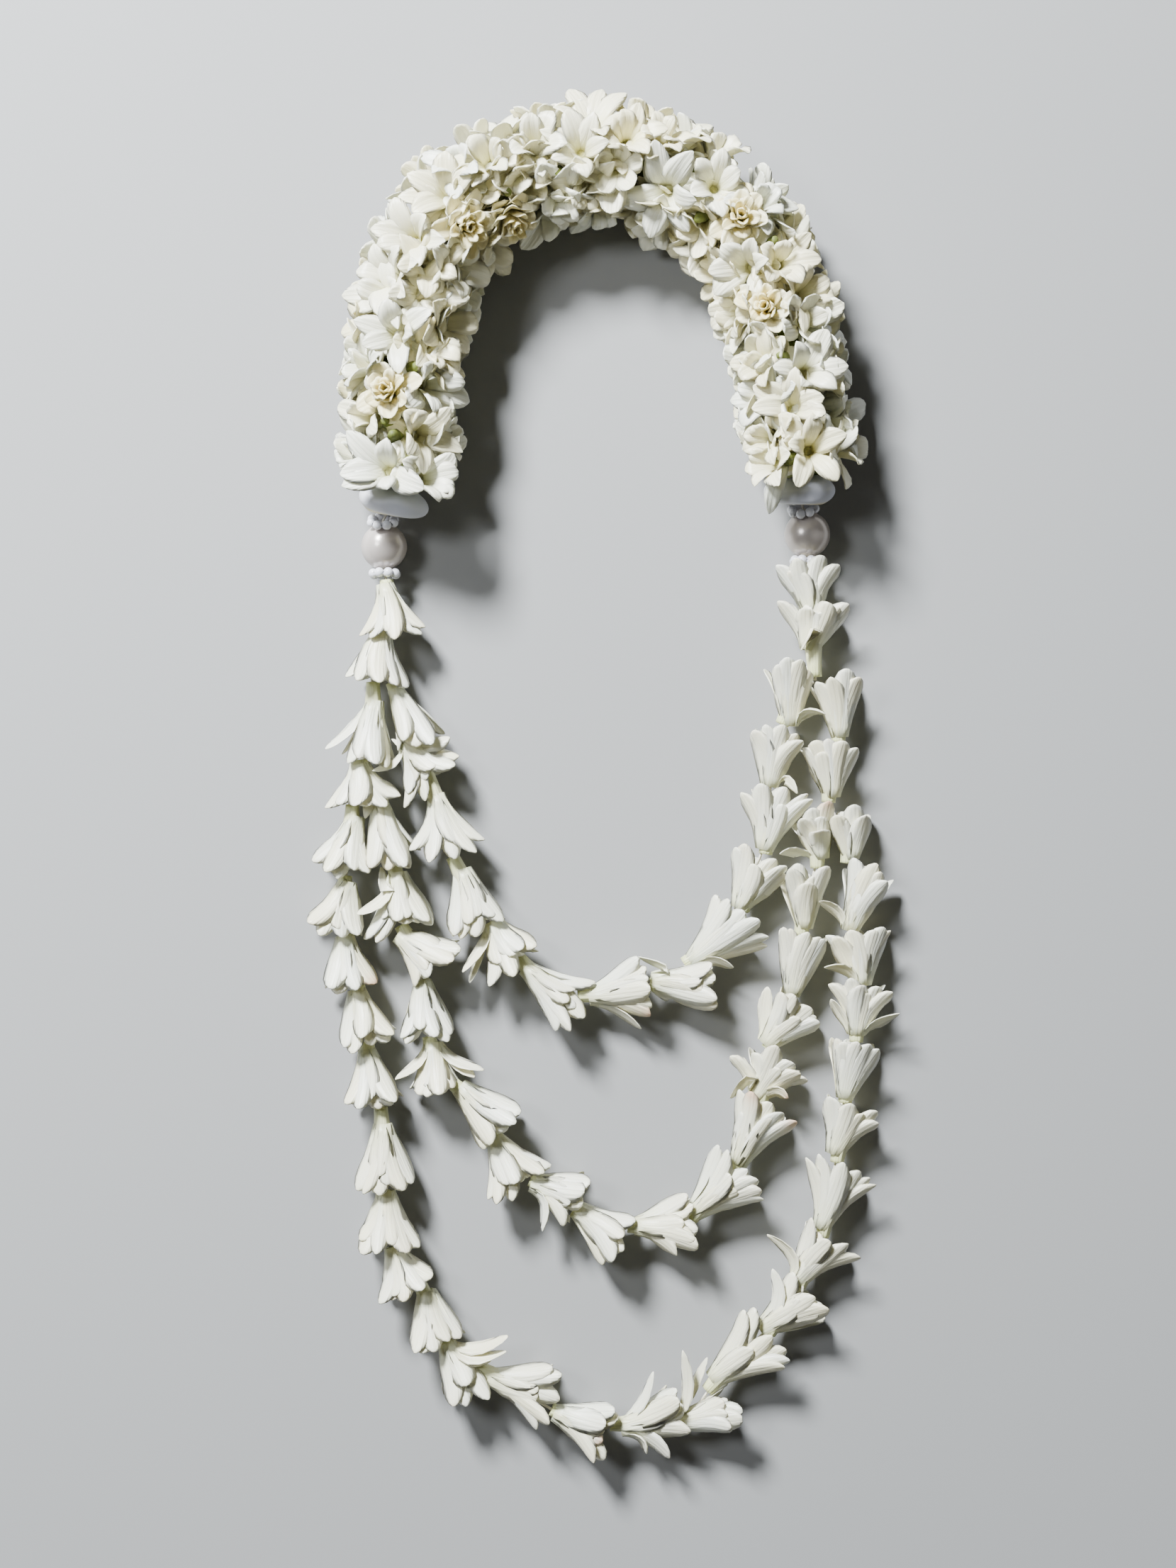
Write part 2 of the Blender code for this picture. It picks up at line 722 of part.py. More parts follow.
# Florets in each body, counted along each strand
GROUPS = {
    "left_lead": (2,), "left_shared": (2,), "outer": (2,) * 12,
    "middle": (2, 2, 2, 2, 3, 2, 2, 2), "inner": (2, 2, 2, 3, 2, 2),
    "right_shared": (2,), "right_lead": (2,),
}


def make_strands(materials, model, workshop):
    paths = strand_paths()
    lines = {}
    for strand, florets in paths.items():
        line = [(base, throat) for base, throat, _ in florets]
        line.append((florets[-1][1], florets[-1][2]))
        lines[strand] = line
    source = random.Random(11)
    for strand, florets in paths.items():
        index = 0
        for number, count in enumerate(GROUPS[strand], 1):
            pieces = []
            for place in range(count):
                base, throat, mouth = florets[index]
                axis = (throat - base).normalized()
                start = base + axis * (CLEARANCE + 1.0 if place == 0 else 0.0)
                own_line = [(base, throat), (throat, mouth)]
                resting = (strand, index + 1) in RESTING_FLORETS
                hold = strand_hold(strand, own_line, lines, 0.0 if resting else LOWEST)
                turn = source.uniform(-math.pi, math.pi) / FLORET_PETALS
                way_out = None
                if index + 1 == len(florets) and strand in SIDE_EXITS:
                    turn = 0.0
                    way_out = Vector((SIDE_EXITS[strand], 0, 0))
                spread = FLORET_SPREAD * source.uniform(0.92, 1.05)
                if resting:
                    turn = math.pi / FLORET_PETALS
                pieces.append((start, throat, mouth, turn, spread, hold, way_out))
                index += 1
            name = f"{strand}_florets_{number:02d}"
            body = spray(name, pieces, workshop)
            fuse(name, [body], materials["petal"], model, workshop)
    return paths


def add_thread(name, points, material, model):
    curve = bpy.data.curves.new(name, "CURVE")
    curve.dimensions = "3D"
    curve.bevel_depth = THREAD_ACROSS / 2 * MM
    curve.bevel_resolution = 0
    curve.use_fill_caps = True
    spline = curve.splines.new("POLY")
    spline.points.add(len(points) - 1)
    for item, point in zip(spline.points, points):
        item.co = (*(point * MM), 1.0)
    curve.materials.append(material)
    thread = bpy.data.objects.new(name, curve)
    model.objects.link(thread)
    return thread


def thread_through_pearl(before, pearl, after):
    """Straight through the pearl, and through the ring of beads on either side."""
    before, pearl, after = Vector(before), Vector(pearl), Vector(after)
    axis = (after - before).normalized()
    reach = PEARL_ACROSS / 2 + 0.6
    return [before, pearl - axis * reach, pearl + axis * reach, after]


def make_threads(collar, paths, materials, model):
    def throats(*strands):
        return [throat for strand in strands for _, throat, _ in paths[strand]]

    left_end = thread_through_pearl(LEFT_LOWER_RING, LEFT_PEARL, LEFT_UPPER_RING)
    right_end = thread_through_pearl(RIGHT_UPPER_RING, RIGHT_PEARL, RIGHT_LOWER_RING)
    joints = [*COLLAR_JOINTS, collar.length]
    stops = []
    for low, high in zip(joints, joints[1:]):
        stops += list(np.linspace(low + CLEARANCE / 2, high - CLEARANCE / 2, CORE_STOPS))
    arch = [cap_end(collar, 0.0, -collar.heading(0.0))]
    arch += [collar.point(stop) for stop in stops]
    arch.append(cap_end(collar, collar.length, collar.heading(collar.length)))
    left_start = Vector((*TUBE_STARTS["left_lead"], STRAND_HEIGHT))
    right_start = Vector((*TUBE_STARTS["right_lead"], STRAND_HEIGHT))
    lead = list(reversed(throats("left_lead")))
    whole = lead + [left_start] + left_end + arch + right_end
    whole += list(reversed(throats("right_lead"))) + [right_start]
    add_thread("thread_collar", whole, materials["thread"], model)

    def starts(strand):
        return Vector((*TUBE_STARTS[strand], STRAND_HEIGHT))

    def way_through(strand):
        """A point in the mouth of a strand's last floret, past its petals' notches."""
        _, throat, mouth = paths[strand][-1]
        return throat + (mouth - throat).normalized() * 4.8

    left_knot = throats("left_lead")[-1]
    routes = {
        "thread_outer": [left_knot, starts("left_shared"), *throats("left_shared"),
                         starts("outer"), *throats("outer"), starts("right_shared"),
                         *throats("right_shared"), way_through("right_shared"), right_start],
        "thread_middle": [way_through("left_shared"), starts("middle"), *throats("middle"),
                          starts("right_shared")],
        "thread_inner": [left_knot, starts("inner"), *throats("inner"), way_through("inner"),
                         right_start],
    }
    for name, points in routes.items():
        first = points[0] + (points[1] - points[0]).normalized() * KNOT_GAPS[name][0]
        last = points[-1] + (points[-2] - points[-1]).normalized() * KNOT_GAPS[name][1]
        add_thread(name, [first, *points[1:-1], last], materials["thread"], model)


def make_pearl(name, centre, before, after, material, model, workshop):
    """A round pearl, bored through along the thread."""
    axis = (Vector(after) - Vector(before)).normalized()
    radius = PEARL_ACROSS / 2
    bm = bmesh.new()
    outline = []
    rim = math.asin(BORE_RADIUS / radius)
    for step in range(PEARL_RINGS + 1):
        angle = rim + (math.pi - 2 * rim) * step / PEARL_RINGS
        middle = Vector(centre) - axis * radius * math.cos(angle)
        outline.append(ring(bm, middle, axis, radius * math.sin(angle), PEARL_SIDES))
    for first, second in zip(outline, outline[1:]):
        bridge(bm, first, second)
    bridge(bm, outline[-1], outline[0])
    pearl = mesh_object(name, bm, workshop)
    fuse(name, [pearl], material, model, workshop)


def make_bead_ring(name, centre, axis, material, model, workshop):
    """Small beads touching side by side round the thread."""
    axis = Vector(axis).normalized()
    side, rise = across(axis)
    pieces = []
    for index in range(BEADS_IN_RING):
        angle = math.tau * index / BEADS_IN_RING
        place = Vector(centre) + BEAD_RING_RADIUS * (math.cos(angle) * side + math.sin(angle) * rise)
        place += axis * (0.25 if index % 2 else -0.25)
        bm = bmesh.new()
        bmesh.ops.create_icosphere(bm, subdivisions=1, radius=BEAD_ACROSS / 2 * 1.25)
        bmesh.ops.translate(bm, vec=place, verts=bm.verts)
        pieces.append(mesh_object("bead", bm, workshop))
    fuse(name, pieces, material, model, workshop)


def make_cap(name, closed_end, mouth, material, model, workshop):
    """A bell of one folded petal, closed towards the collar, its lip waved."""
    axis = (mouth - closed_end).normalized()
    depth = (mouth - closed_end).length
    side, rise = across(axis)
    sides = 11
    outline = ((BORE_RADIUS, 0.0), (3.0, 0.2), (6.6, 2.8), (10.2, 6.8), (CAP_RADIUS, depth))
    inside = ((CAP_RADIUS - CAP_WALL, depth), (9.1, 7.3), (5.6, 3.7), (2.8, 1.5), (BORE_RADIUS, 1.3))
    bm = bmesh.new()
    rings = []
    for radius, forward in (*outline, *inside):
        points = []
        for step in range(sides):
            angle = math.tau * step / sides
            wave = 1.0 + 0.05 * math.sin(3 * angle) * (forward / depth)
            reach = forward + 0.8 * math.cos(2 * angle) * (forward / depth) ** 2
            outward = math.cos(angle) * side * radius * wave + math.sin(angle) * rise * radius * wave
            points.append(bm.verts.new(closed_end + outward + axis * reach))
        rings.append(points)
    for first, second in zip(rings, rings[1:]):
        bridge(bm, first, second)
    bridge(bm, rings[-1], rings[0])
    cap = mesh_object(name, bm, workshop)
    fuse(name, [cap], material, model, workshop)


def cap_end(collar, station, outward):
    """Where the thread enters the closed end of a cap, just off the collar."""
    return collar.point(station) + outward * CAP_STANDOFF - UP * 0.7


def make_ends(collar, materials, model, workshop):
    """The caps, bead rings and pearls between the collar and the strands."""
    for hand, ends in (("left", (LEFT_UPPER_RING, LEFT_PEARL, LEFT_LOWER_RING, TUBE_STARTS["left_lead"])),
                       ("right", (RIGHT_UPPER_RING, RIGHT_PEARL, RIGHT_LOWER_RING, (73, -140)))):
        upper, pearl, lower, tube = ends
        station = 0.0 if hand == "left" else collar.length
        outward = collar.heading(station) * (-1 if hand == "left" else 1)
        closed_end = cap_end(collar, station, outward)
        toward = (Vector(upper) - closed_end).normalized()
        mouth = closed_end + (toward * 0.8 + outward * 0.4).normalized() * CAP_DEPTH
        make_cap(f"{hand}_cap", closed_end, mouth, materials["cap"], model, workshop)
        make_pearl(f"{hand}_pearl", pearl, upper, lower, materials["pearl"], model, workshop)
        upper_axis = Vector(pearl) - Vector(upper)
        lower_axis = Vector(lower) - Vector(pearl)
        make_bead_ring(f"{hand}_upper_beads", upper, upper_axis, materials["bead"], model, workshop)
        make_bead_ring(f"{hand}_lower_beads", lower, lower_axis, materials["bead"], model, workshop)


def main():
    clear_scene()
    model = new_collection("lei")
    workshop = new_collection("workshop")
    materials = {
        "petal": make_material("petal_white", PETAL_WHITE, 0.45),
        "cap": make_material("cap_petal", CAP_WHITE, 0.4),
        "pearl": make_material("pearl_nacre", PEARL_NACRE, 0.18),
        "bead": make_material("bead_white", BEAD_WHITE, 0.25),
        "thread": make_material("thread_cotton", THREAD_WHITE, 0.8),
    }
    collar = make_collar(materials, model, workshop)
    paths = make_strands(materials, model, workshop)
    make_ends(collar, materials, model, workshop)
    make_threads(collar, paths, materials, model)
    bpy.data.collections.remove(workshop)


main()
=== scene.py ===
"""A lei of white tuberose, laid flat and seen from straight above.

The collar is a thick rope of blooms that face outward all round. Each of its ends
has a cap of one folded petal, a ring of small beads, a pearl and a second ring of
beads. Three nested strands of trumpet florets, threaded nose to tail, close it.

Sizes in the tables and settings are millimetres, and the meshes are in metres.
Places that follow the photograph are given in its pixels.
"""

import math

import bpy
import numpy as np
from bpy.props import FloatProperty, FloatVectorProperty, IntProperty, PointerProperty
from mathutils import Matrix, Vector


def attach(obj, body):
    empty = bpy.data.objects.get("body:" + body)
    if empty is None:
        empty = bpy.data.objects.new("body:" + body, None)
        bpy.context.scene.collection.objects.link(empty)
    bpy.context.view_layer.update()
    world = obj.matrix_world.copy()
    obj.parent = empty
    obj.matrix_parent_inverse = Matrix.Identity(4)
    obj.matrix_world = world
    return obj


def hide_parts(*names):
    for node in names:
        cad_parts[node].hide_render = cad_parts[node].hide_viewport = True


bl_info = {
    "name": "Tuberose lei",
    "version": (1, 0, 0),
    "blender": (4, 5, 0),
    "location": "View3D > Sidebar > Lei",
    "description": "Builds a lei of tuberose blooms with pearls at the ends of its collar",
    "category": "Add Mesh",
}

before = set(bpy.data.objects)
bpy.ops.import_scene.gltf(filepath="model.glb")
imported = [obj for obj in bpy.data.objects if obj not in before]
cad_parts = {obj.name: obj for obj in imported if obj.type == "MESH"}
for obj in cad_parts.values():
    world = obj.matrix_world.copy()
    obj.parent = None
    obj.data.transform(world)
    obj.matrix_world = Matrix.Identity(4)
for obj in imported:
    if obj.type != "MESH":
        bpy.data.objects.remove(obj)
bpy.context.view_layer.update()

MM = 0.001
UP = np.array((0.0, 0.0, 1.0))
LEVEL = np.array((1.0, 1.0, 0.0))

# Slight leans off straight up, so that an upright axis still has two directions across it
TUBE_NUDGE = np.array((0.013, 0.007, 0.0))
BLOOM_NUDGE = np.array((0.02, 0.01, 0.0))

# The photograph's frame: its size in pixels, the camera over the lei, the size of a
# pixel on the surface that the lei lies on, and the sine of the angle below which a
# plane counts as seen edge on
PHOTO_SIZE = (1659, 2212)
CAMERA_PLACE = (-3.78, -214.07, 830.0)
CAMERA_LENS = 54.0
PIXEL = 0.25
EDGE_ON = 0.18

# Heights of the middle lines of the collar and of the strands, and of the lowest petal
COLLAR_AXIS_HEIGHT = 20.5
STRAND_HEIGHT = 10.5
LOWEST = 0.3

# How far a bloom's throat lies from the collar's middle line, how far a floret's petals
# spread from its axis, the radius of a ring through its beads' middles, and of the bores
THROAT_RADIUS = 15.0
FLORET_SPREAD = 12.5
BEAD_RING_RADIUS = 4.1
PEARL_BORE = 1.0
BEAD_BORE = 0.3

# How far either side of a station the collar's heading is taken
HEADING_STEP = 1.5

# Added to the seed for the strands, so that they draw apart from the collar's bodies
STRAND_SEED = 100

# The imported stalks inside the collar: radius, how much it swells, distance between
# rings, gap to the next body, and corners round
CORE_RADIUS = 8.0
CORE_SWELL = 0.9
CORE_STEP = 2.5
CORE_GAP = 0.3
CORE_SIDES = 24

# Scales of the patterns, in waves a metre: a vein about 1.5 mm wide and a cap's of 2 mm,
# waxy grain of a third of a mm, blotches of 5 mm and clouds in nacre of 8 mm. A thread's
# plies are drawn a few times as coarse as they are, so that they show
VEIN_SCALE = 650.0
CAP_VEIN_SCALE = 500.0
GRAIN_SCALE = 3000.0
BLOTCH_SCALE = 200.0
NACRE_SCALE = 120.0
PLY_SCALE = 600.0

# How bright a blotch on a stalk is beside the rest of it
BLOTCH_SHADE = 0.35

# Numbers of the sockets that a Mix node has for colours
MIX_SHARE = 0
MIX_FIRST = 6
MIX_SECOND = 7
MIX_RESULT = 2

# Lamps: name, place, size across in metres, and power in watts. Both aim at the lei's
# middle and have the colour of daylight from a window
DAYLIGHT = "#f5faff"
LAMP_AIM = (0.0, -0.22, 0.0)
LAMPS = (
    ("window_beyond_crown", (-0.56, 0.74, 0.95), 0.36, 106.0),
    ("window_beside_left_leg", (-0.75, 0.1, 1.1), 0.34, 8.0),
)
SKY_STRENGTH = 0.08
FLOOR_ACROSS = 4.0

# Middle of the collar, from its left end over the crown to its right end
COLLAR_ROUTE = (
    (-69, -110.5), (-69, -99), (-67, -62), (-60, -34), (-50, -17), (-31, -5), (0, 0),
    (23, -5), (40, -15), (54, -32), (61, -51), (66, -80), (69, -104), (69, -106.5),
)

# Blooms on the upper side of the collar, in pixels: throat, form and petal tips
COLLAR_BLOOMS = (
    ((546, 663), "star", (488, 607), (478, 668), (545, 617), (598, 690), (480, 685), (545, 690)),
    ((590, 612), "star", (635, 575), (656, 637), (600, 668), (575, 640), (570, 580), (590, 578)),
    ((549, 549), "rosette"),
    ((602, 545), "star", (598, 513), (662, 567), (655, 540), (575, 572), (612, 582)),
    ((560, 472), "star", (545, 420), (497, 450), (511, 487), (581, 471), (610, 437)),
    ((626, 455), "star", (610, 425), (641, 430), (664, 497), (672, 455), (600, 480)),
    ((600, 412), "star", (633, 358), (664, 419), (548, 413), (612, 440)),
    ((543, 418), "star", (480, 416), (503, 400), (500, 438), (555, 393)),
    ((548, 390), "star", (525, 342), (562, 345), (500, 380), (590, 370)),
    ((583, 335), "star", (556, 278), (522, 322), (530, 343), (600, 302), (592, 375)),
    ((605, 375), "star", (612, 322), (560, 375), (645, 390), (600, 420)),
    ((630, 275), "star", (573, 243), (628, 212), (580, 297), (665, 235), (560, 275)),
    ((654, 316), "rosette"),
    ((640, 378), "star", (678, 347), (690, 395), (650, 420), (610, 350)),
    ((645, 235), "star", (640, 200), (660, 205), (672, 240), (610, 245)),
    ((690, 225), "star", (664, 191), (705, 195), (715, 240), (665, 260)),
    ((725, 240), "cup", (705, 198), (735, 190), (752, 228), (700, 262)),
    ((718, 305), "rosette"),
    ((672, 262), "cup", (657, 285), (672, 238), (640, 255), (700, 280)),
    ((755, 205), "star", (750, 158), (740, 190), (780, 155), (800, 200), (722, 215)),
    ((760, 232), "cup", (735, 240), (765, 262), (785, 225)),
    ((820, 213), "star", (800, 152), (838, 155), (777, 222), (828, 250), (860, 200)),
    ((836, 172), "star", (803, 127), (884, 133), (850, 125), (780, 150)),
    ((770, 300), "star", (775, 342), (803, 315), (735, 350), (752, 322), (790, 270)),
    ((868, 235), "cup", (848, 270), (862, 300), (893, 262), (905, 225), (880, 205)),
    ((742, 262), "cup", (722, 285), (750, 300), (770, 280)),
    ((790, 272), "star", (765, 300), (790, 318), (815, 310), (820, 275)),
    ((830, 262), "star", (812, 292), (840, 300), (858, 280)),
    ((845, 300), "star", (815, 315), (845, 322), (870, 318), (880, 280), (815, 275)),
    ((885, 195), "star", (903, 143), (865, 160), (880, 152), (850, 200), (915, 215)),
    ((935, 195), "star", (925, 152), (952, 160), (905, 180), (960, 210)),
    ((941, 272), "star", (922, 198), (978, 212), (868, 283), (983, 282), (916, 336)),
    ((968, 195), "star", (966, 155), (990, 175), (940, 190), (1000, 205)),
    ((1010, 262), "star", (1020, 208), (983, 222), (1045, 240), (1020, 305), (975, 270)),
    ((1015, 215), "star", (990, 180), (1025, 192), (1045, 200), (1055, 218)),
    ((985, 312), "cup", (980, 365), (955, 335), (955, 300), (1005, 345)),
    ((1045, 308), "rosette"),
    ((975, 350), "star", (965, 382), (970, 392), (940, 350), (1010, 375)),
    ((930, 320), "star", (905, 357), (940, 350), (890, 325), (900, 300)),
    ((1070, 290), "star", (1098, 262), (1075, 262), (1105, 300), (1085, 330)),
    ((1110, 305), "cup", (1139, 293), (1130, 325), (1100, 280), (1120, 340)),
    ((1055, 376), "star", (1018, 345), (1000, 382), (1008, 415), (1062, 335), (1085, 365)),
    ((1100, 372), "star", (1110, 337), (1160, 365), (1075, 345), (1085, 395), (1130, 400)),
    ((1135, 415), "star", (1140, 372), (1172, 392), (1180, 417), (1105, 383)),
    ((1084, 435), "rosette"),
    ((1140, 455), "cup", (1118, 423), (1190, 428), (1170, 440), (1155, 480), (1110, 460)),
    ((1040, 440), "star", (1000, 440), (1003, 462), (1010, 420), (1040, 475)),
    ((1075, 490), "cup", (1052, 480), (1070, 515), (1098, 490), (1085, 470)),
    ((1136, 522), "star", (1125, 480), (1170, 463), (1199, 515), (1182, 548), (1130, 545)),
    ((1075, 515), "star", (1028, 512), (1045, 535), (1050, 500), (1080, 545)),
    ((1118, 576), "star", (1122, 517), (1062, 543), (1163, 560), (1165, 582), (1060, 575)),
    ((1188, 500), "star", (1190, 476), (1197, 500), (1205, 542), (1160, 515)),
    ((1080, 560), "star", (1030, 565), (1045, 600), (1040, 545)),
    ((1144, 635), "star", (1145, 582), (1195, 612), (1182, 678), (1124, 687), (1112, 625)),
    ((1107, 622), "bud"),
    ((1188, 590), "star", (1222, 568), (1200, 605), (1190, 560), (1165, 610)),
    ((1192, 632), "star", (1225, 632), (1210, 655), (1195, 690), (1160, 650)),
    ((1085, 620), "star", (1047, 612), (1045, 635), (1060, 600), (1090, 655)),
    ((1085, 655), "star", (1047, 662), (1060, 685), (1100, 685), (1055, 640)),
    ((600, 680), "star", (640, 640), (645, 665), (640, 690), (635, 703), (618, 708)),
    ((515, 590), "star", (488, 590), (490, 570), (495, 600), (530, 610)),
    ((510, 520), "star", (480, 520), (493, 545), (482, 492), (530, 500)),
    ((605, 490), "star", (653, 495), (648, 507), (645, 530), (620, 520), (590, 515)),
    ((500, 640), "star", (476, 645), (480, 625), (478, 660)),
    ((655, 415), "star", (672, 380), (680, 435), (675, 455), (640, 400)),
    ((700, 360), "star", (722, 368), (720, 387), (690, 395), (680, 360)),
    ((635, 620), "star", (650, 600), (655, 625), (648, 650), (630, 650)),
)

# Florets of each strand, in pixels: foot of the tube, throat, petal tips and any stray
# petals' tips. A tip with a third number is bruised
LEFT_LEAD = (
    ((545, 818), (547, 843), ((507, 897), (522, 900), (557, 902), (595, 895), (600, 885))),
    ((540, 887), (537, 905), ((487, 955), (503, 960), (520, 945), (535, 963), (560, 967), (575, 970))),
)
LEFT_SHARED = (
    ((526, 962), (527, 1008), ((490, 1077), (505, 1070), (530, 1078), (545, 1083)), (458, 1057)),
    ((510, 1072), (508, 1092), ((458, 1140), (475, 1135), (500, 1137), (520, 1137), (545, 1138),
     (565, 1123)), (515, 1155)),
)
OUTER_STRAND = (
    ((497, 1135), (497, 1170), ((440, 1215), (458, 1230), (475, 1240), (500, 1228), (520, 1232))),
    ((487, 1235), (485, 1262), ((434, 1302), (450, 1320), (482, 1323), (505, 1320))),
    ((487, 1318), (488, 1340), ((465, 1395), (475, 1403), (503, 1397), (530, 1388, 1))),
    ((505, 1390), (508, 1415), ((485, 1478), (497, 1487), (510, 1465), (525, 1475), (548, 1470),
     (555, 1460))),
    ((517, 1465), (520, 1500), ((487, 1558), (505, 1565), (535, 1565), (552, 1560), (558, 1555))),
    ((537, 1562), (540, 1605), ((503, 1680), (512, 1685), (535, 1687), (570, 1680), (582, 1670))),
    ((547, 1680), (545, 1700), ((507, 1750), (510, 1770), (530, 1770), (555, 1757), (575, 1768),
     (592, 1760))),
    ((555, 1760), (560, 1778), ((535, 1840), (552, 1835), (570, 1837), (597, 1820), (610, 1802))),
    ((593, 1812), (605, 1840), ((585, 1910), (595, 1910), (612, 1908), (633, 1893), (650, 1888))),
    ((628, 1893), (637, 1912), ((640, 1985), (658, 1985), (660, 1955), (690, 1975)), (717, 1885),
     (715, 1907), (693, 1920)),
    ((665, 1925), (708, 1948), ((793, 1940), (780, 1930), (790, 1975), (775, 2010), (757, 2018))),
    ((778, 1988), (800, 2000), ((868, 1990), (873, 2000), (855, 2010), (850, 2035, 1), (838, 2065),
     (853, 2060))),
    ((860, 2010), (895, 2010), ((955, 1960), (958, 1975), (965, 1985), (975, 2020), (945, 2058)),
     (922, 1935), (912, 2052)),
    ((963, 2003), (972, 2003), ((1022, 1978), (1048, 1990), (1048, 2003), (1032, 2015)), (963, 1905),
     (998, 1915)),
    ((998, 1962), (1020, 1935), ((1050, 1848), (1065, 1845), (1090, 1885), (1110, 1905), (1115, 1920),
     (1108, 1930))),
    ((1085, 1882), (1090, 1866), ((1120, 1795), (1150, 1830), (1160, 1840), (1170, 1848), (1155, 1855)),
     (1090, 1790)),
    ((1128, 1815), (1133, 1795), ((1145, 1718), (1157, 1740), (1170, 1750), (1197, 1755), (1215, 1775)),
     (1082, 1742)),
    ((1160, 1745), (1165, 1715), ((1137, 1633), (1155, 1628), (1190, 1640), (1213, 1652), (1228, 1662),
     (1237, 1672))),
    ((1181, 1640), (1184, 1610), ((1170, 1547), (1177, 1550), (1200, 1557), (1238, 1568), (1240, 1585))),
    ((1192, 1556), (1195, 1530), ((1180, 1465), (1190, 1470), (1210, 1470), (1227, 1473), (1240, 1480))),
    ((1208, 1470), (1210, 1440), ((1170, 1388), (1200, 1380), (1215, 1390), (1240, 1392), (1260, 1400)),
     (1270, 1430), (1172, 1410)),
    ((1215, 1390), (1215, 1370), ((1165, 1320), (1178, 1322), (1200, 1312), (1235, 1312), (1247, 1308),
     (1257, 1313)), (1163, 1365)),
    ((1203, 1312), (1205, 1295), ((1205, 1210), (1222, 1222), (1237, 1218), (1243, 1230), (1252, 1243)),
     (1155, 1272)),
    ((1195, 1218), (1200, 1192), ((1180, 1150), (1190, 1145), (1205, 1135), (1222, 1150))),
)
MIDDLE_STRAND = (
    ((533, 1120), (540, 1150), ((522, 1225), (548, 1228), (572, 1223), (578, 1225))),
    ((555, 1215), (562, 1250), ((513, 1325), (530, 1330), (560, 1300), (575, 1295), (605, 1300),
     (610, 1305)), (503, 1290), (537, 1223)),
    ((565, 1305), (577, 1330), ((650, 1340), (640, 1355), (627, 1348), (605, 1378), (585, 1392))),
    ((592, 1385), (597, 1402), ((565, 1465), (572, 1473), (592, 1453), (615, 1463), (632, 1470),
     (636, 1460))),
    ((605, 1462), (612, 1490), ((590, 1545), (602, 1548), (620, 1545), (640, 1535)), (557, 1523),
     (683, 1510), (670, 1520)),
    ((640, 1530), (662, 1547), ((683, 1622), (693, 1615), (735, 1570), (728, 1585), (715, 1595))),
    ((694, 1598), (706, 1622), ((688, 1693), (700, 1700), (723, 1695), (728, 1670), (768, 1655),
     (778, 1645))),
    ((748, 1664), (768, 1675), ((833, 1668), (825, 1680), (822, 1700), (795, 1730)), (765, 1738)),
    ((808, 1708), (828, 1718), ((850, 1785), (865, 1780), (880, 1765), (880, 1745), (897, 1722))),
    ((885, 1730), (915, 1730), ((970, 1685), (979, 1700), (985, 1735), (980, 1750), (985, 1760),
     (955, 1772))),
    ((975, 1720), (992, 1700), ((1013, 1615), (1027, 1622), (1055, 1650), (1070, 1665), (1075, 1680),
     (1078, 1693))),
    ((1032, 1658), (1048, 1625), ((1043, 1537), (1060, 1540, 1), (1087, 1555), (1105, 1570),
     (1125, 1583, 1))),
    ((1074, 1555), (1075, 1532), ((1030, 1490), (1065, 1485), (1095, 1475), (1120, 1500), (1130, 1515),
     (1140, 1525)), (1112, 1550, 1), (1030, 1550)),
    ((1083, 1480), (1093, 1460), ((1103, 1400), (1120, 1403), (1145, 1422), (1152, 1435), (1157, 1443)),
     (1082, 1392)),
    ((1118, 1405), (1120, 1385), ((1105, 1308), (1115, 1310), (1140, 1315), (1157, 1322), (1163, 1325))),
    ((1130, 1320), (1135, 1290), ((1115, 1225), (1125, 1218), (1142, 1245), (1168, 1222))),
    ((1153, 1225), (1155, 1192), ((1145, 1140), (1130, 1155), (1170, 1130, 1), (1155, 1172)),
     (1100, 1205)),
)
INNER_STRAND = (
    ((553, 962), (565, 990), ((570, 1045), (590, 1053), (610, 1050))),
    ((587, 1050), (585, 1062), ((635, 1040), (648, 1067), (642, 1080), (575, 1120), (600, 1130),
     (570, 1140)), (525, 1087), (552, 1042)),
    ((600, 1085), (620, 1140), ((577, 1200), (605, 1217), (642, 1212), (672, 1203), (684, 1185))),
    ((638, 1208), (657, 1245), ((640, 1320), (650, 1325), (672, 1322), (697, 1293), (710, 1300))),
    ((693, 1300), (703, 1318), ((690, 1392), (703, 1370), (725, 1378), (738, 1338), (757, 1335)),
     (652, 1372), (662, 1387)),
    ((730, 1350), (755, 1378), ((785, 1455), (805, 1455), (812, 1422), (825, 1436), (840, 1386))),
    ((815, 1405), (850, 1402), ((900, 1350), (912, 1365), (915, 1380), (918, 1395), (920, 1420),
     (918, 1433, 1)), (905, 1452)),
    ((918, 1390), (938, 1385), ((1005, 1360), (1010, 1380), (1012, 1410), (1012, 1420)), (900, 1350),
     (950, 1408)),
    ((965, 1360), (990, 1345), ((1010, 1262), (1028, 1268), (1050, 1285), (1072, 1298), (1085, 1322),
     (1083, 1335)), (1035, 1365)),
    ((1048, 1285), (1052, 1265), ((1038, 1195), (1050, 1190), (1070, 1225), (1095, 1212), (1110, 1222),
     (1110, 1235))),
    ((1080, 1205), (1084, 1180), ((1045, 1118), (1073, 1105), (1108, 1110), (1140, 1120), (1147, 1128))),
    ((1088, 1108), (1089, 1090), ((1063, 1030), (1080, 1022), (1105, 1022), (1125, 1035), (1133, 1045)),
     (1125, 1120)),
    ((1103, 1022), (1115, 1004), ((1098, 937), (1110, 927), (1130, 930), (1140, 945)), (1165, 1008)),
)
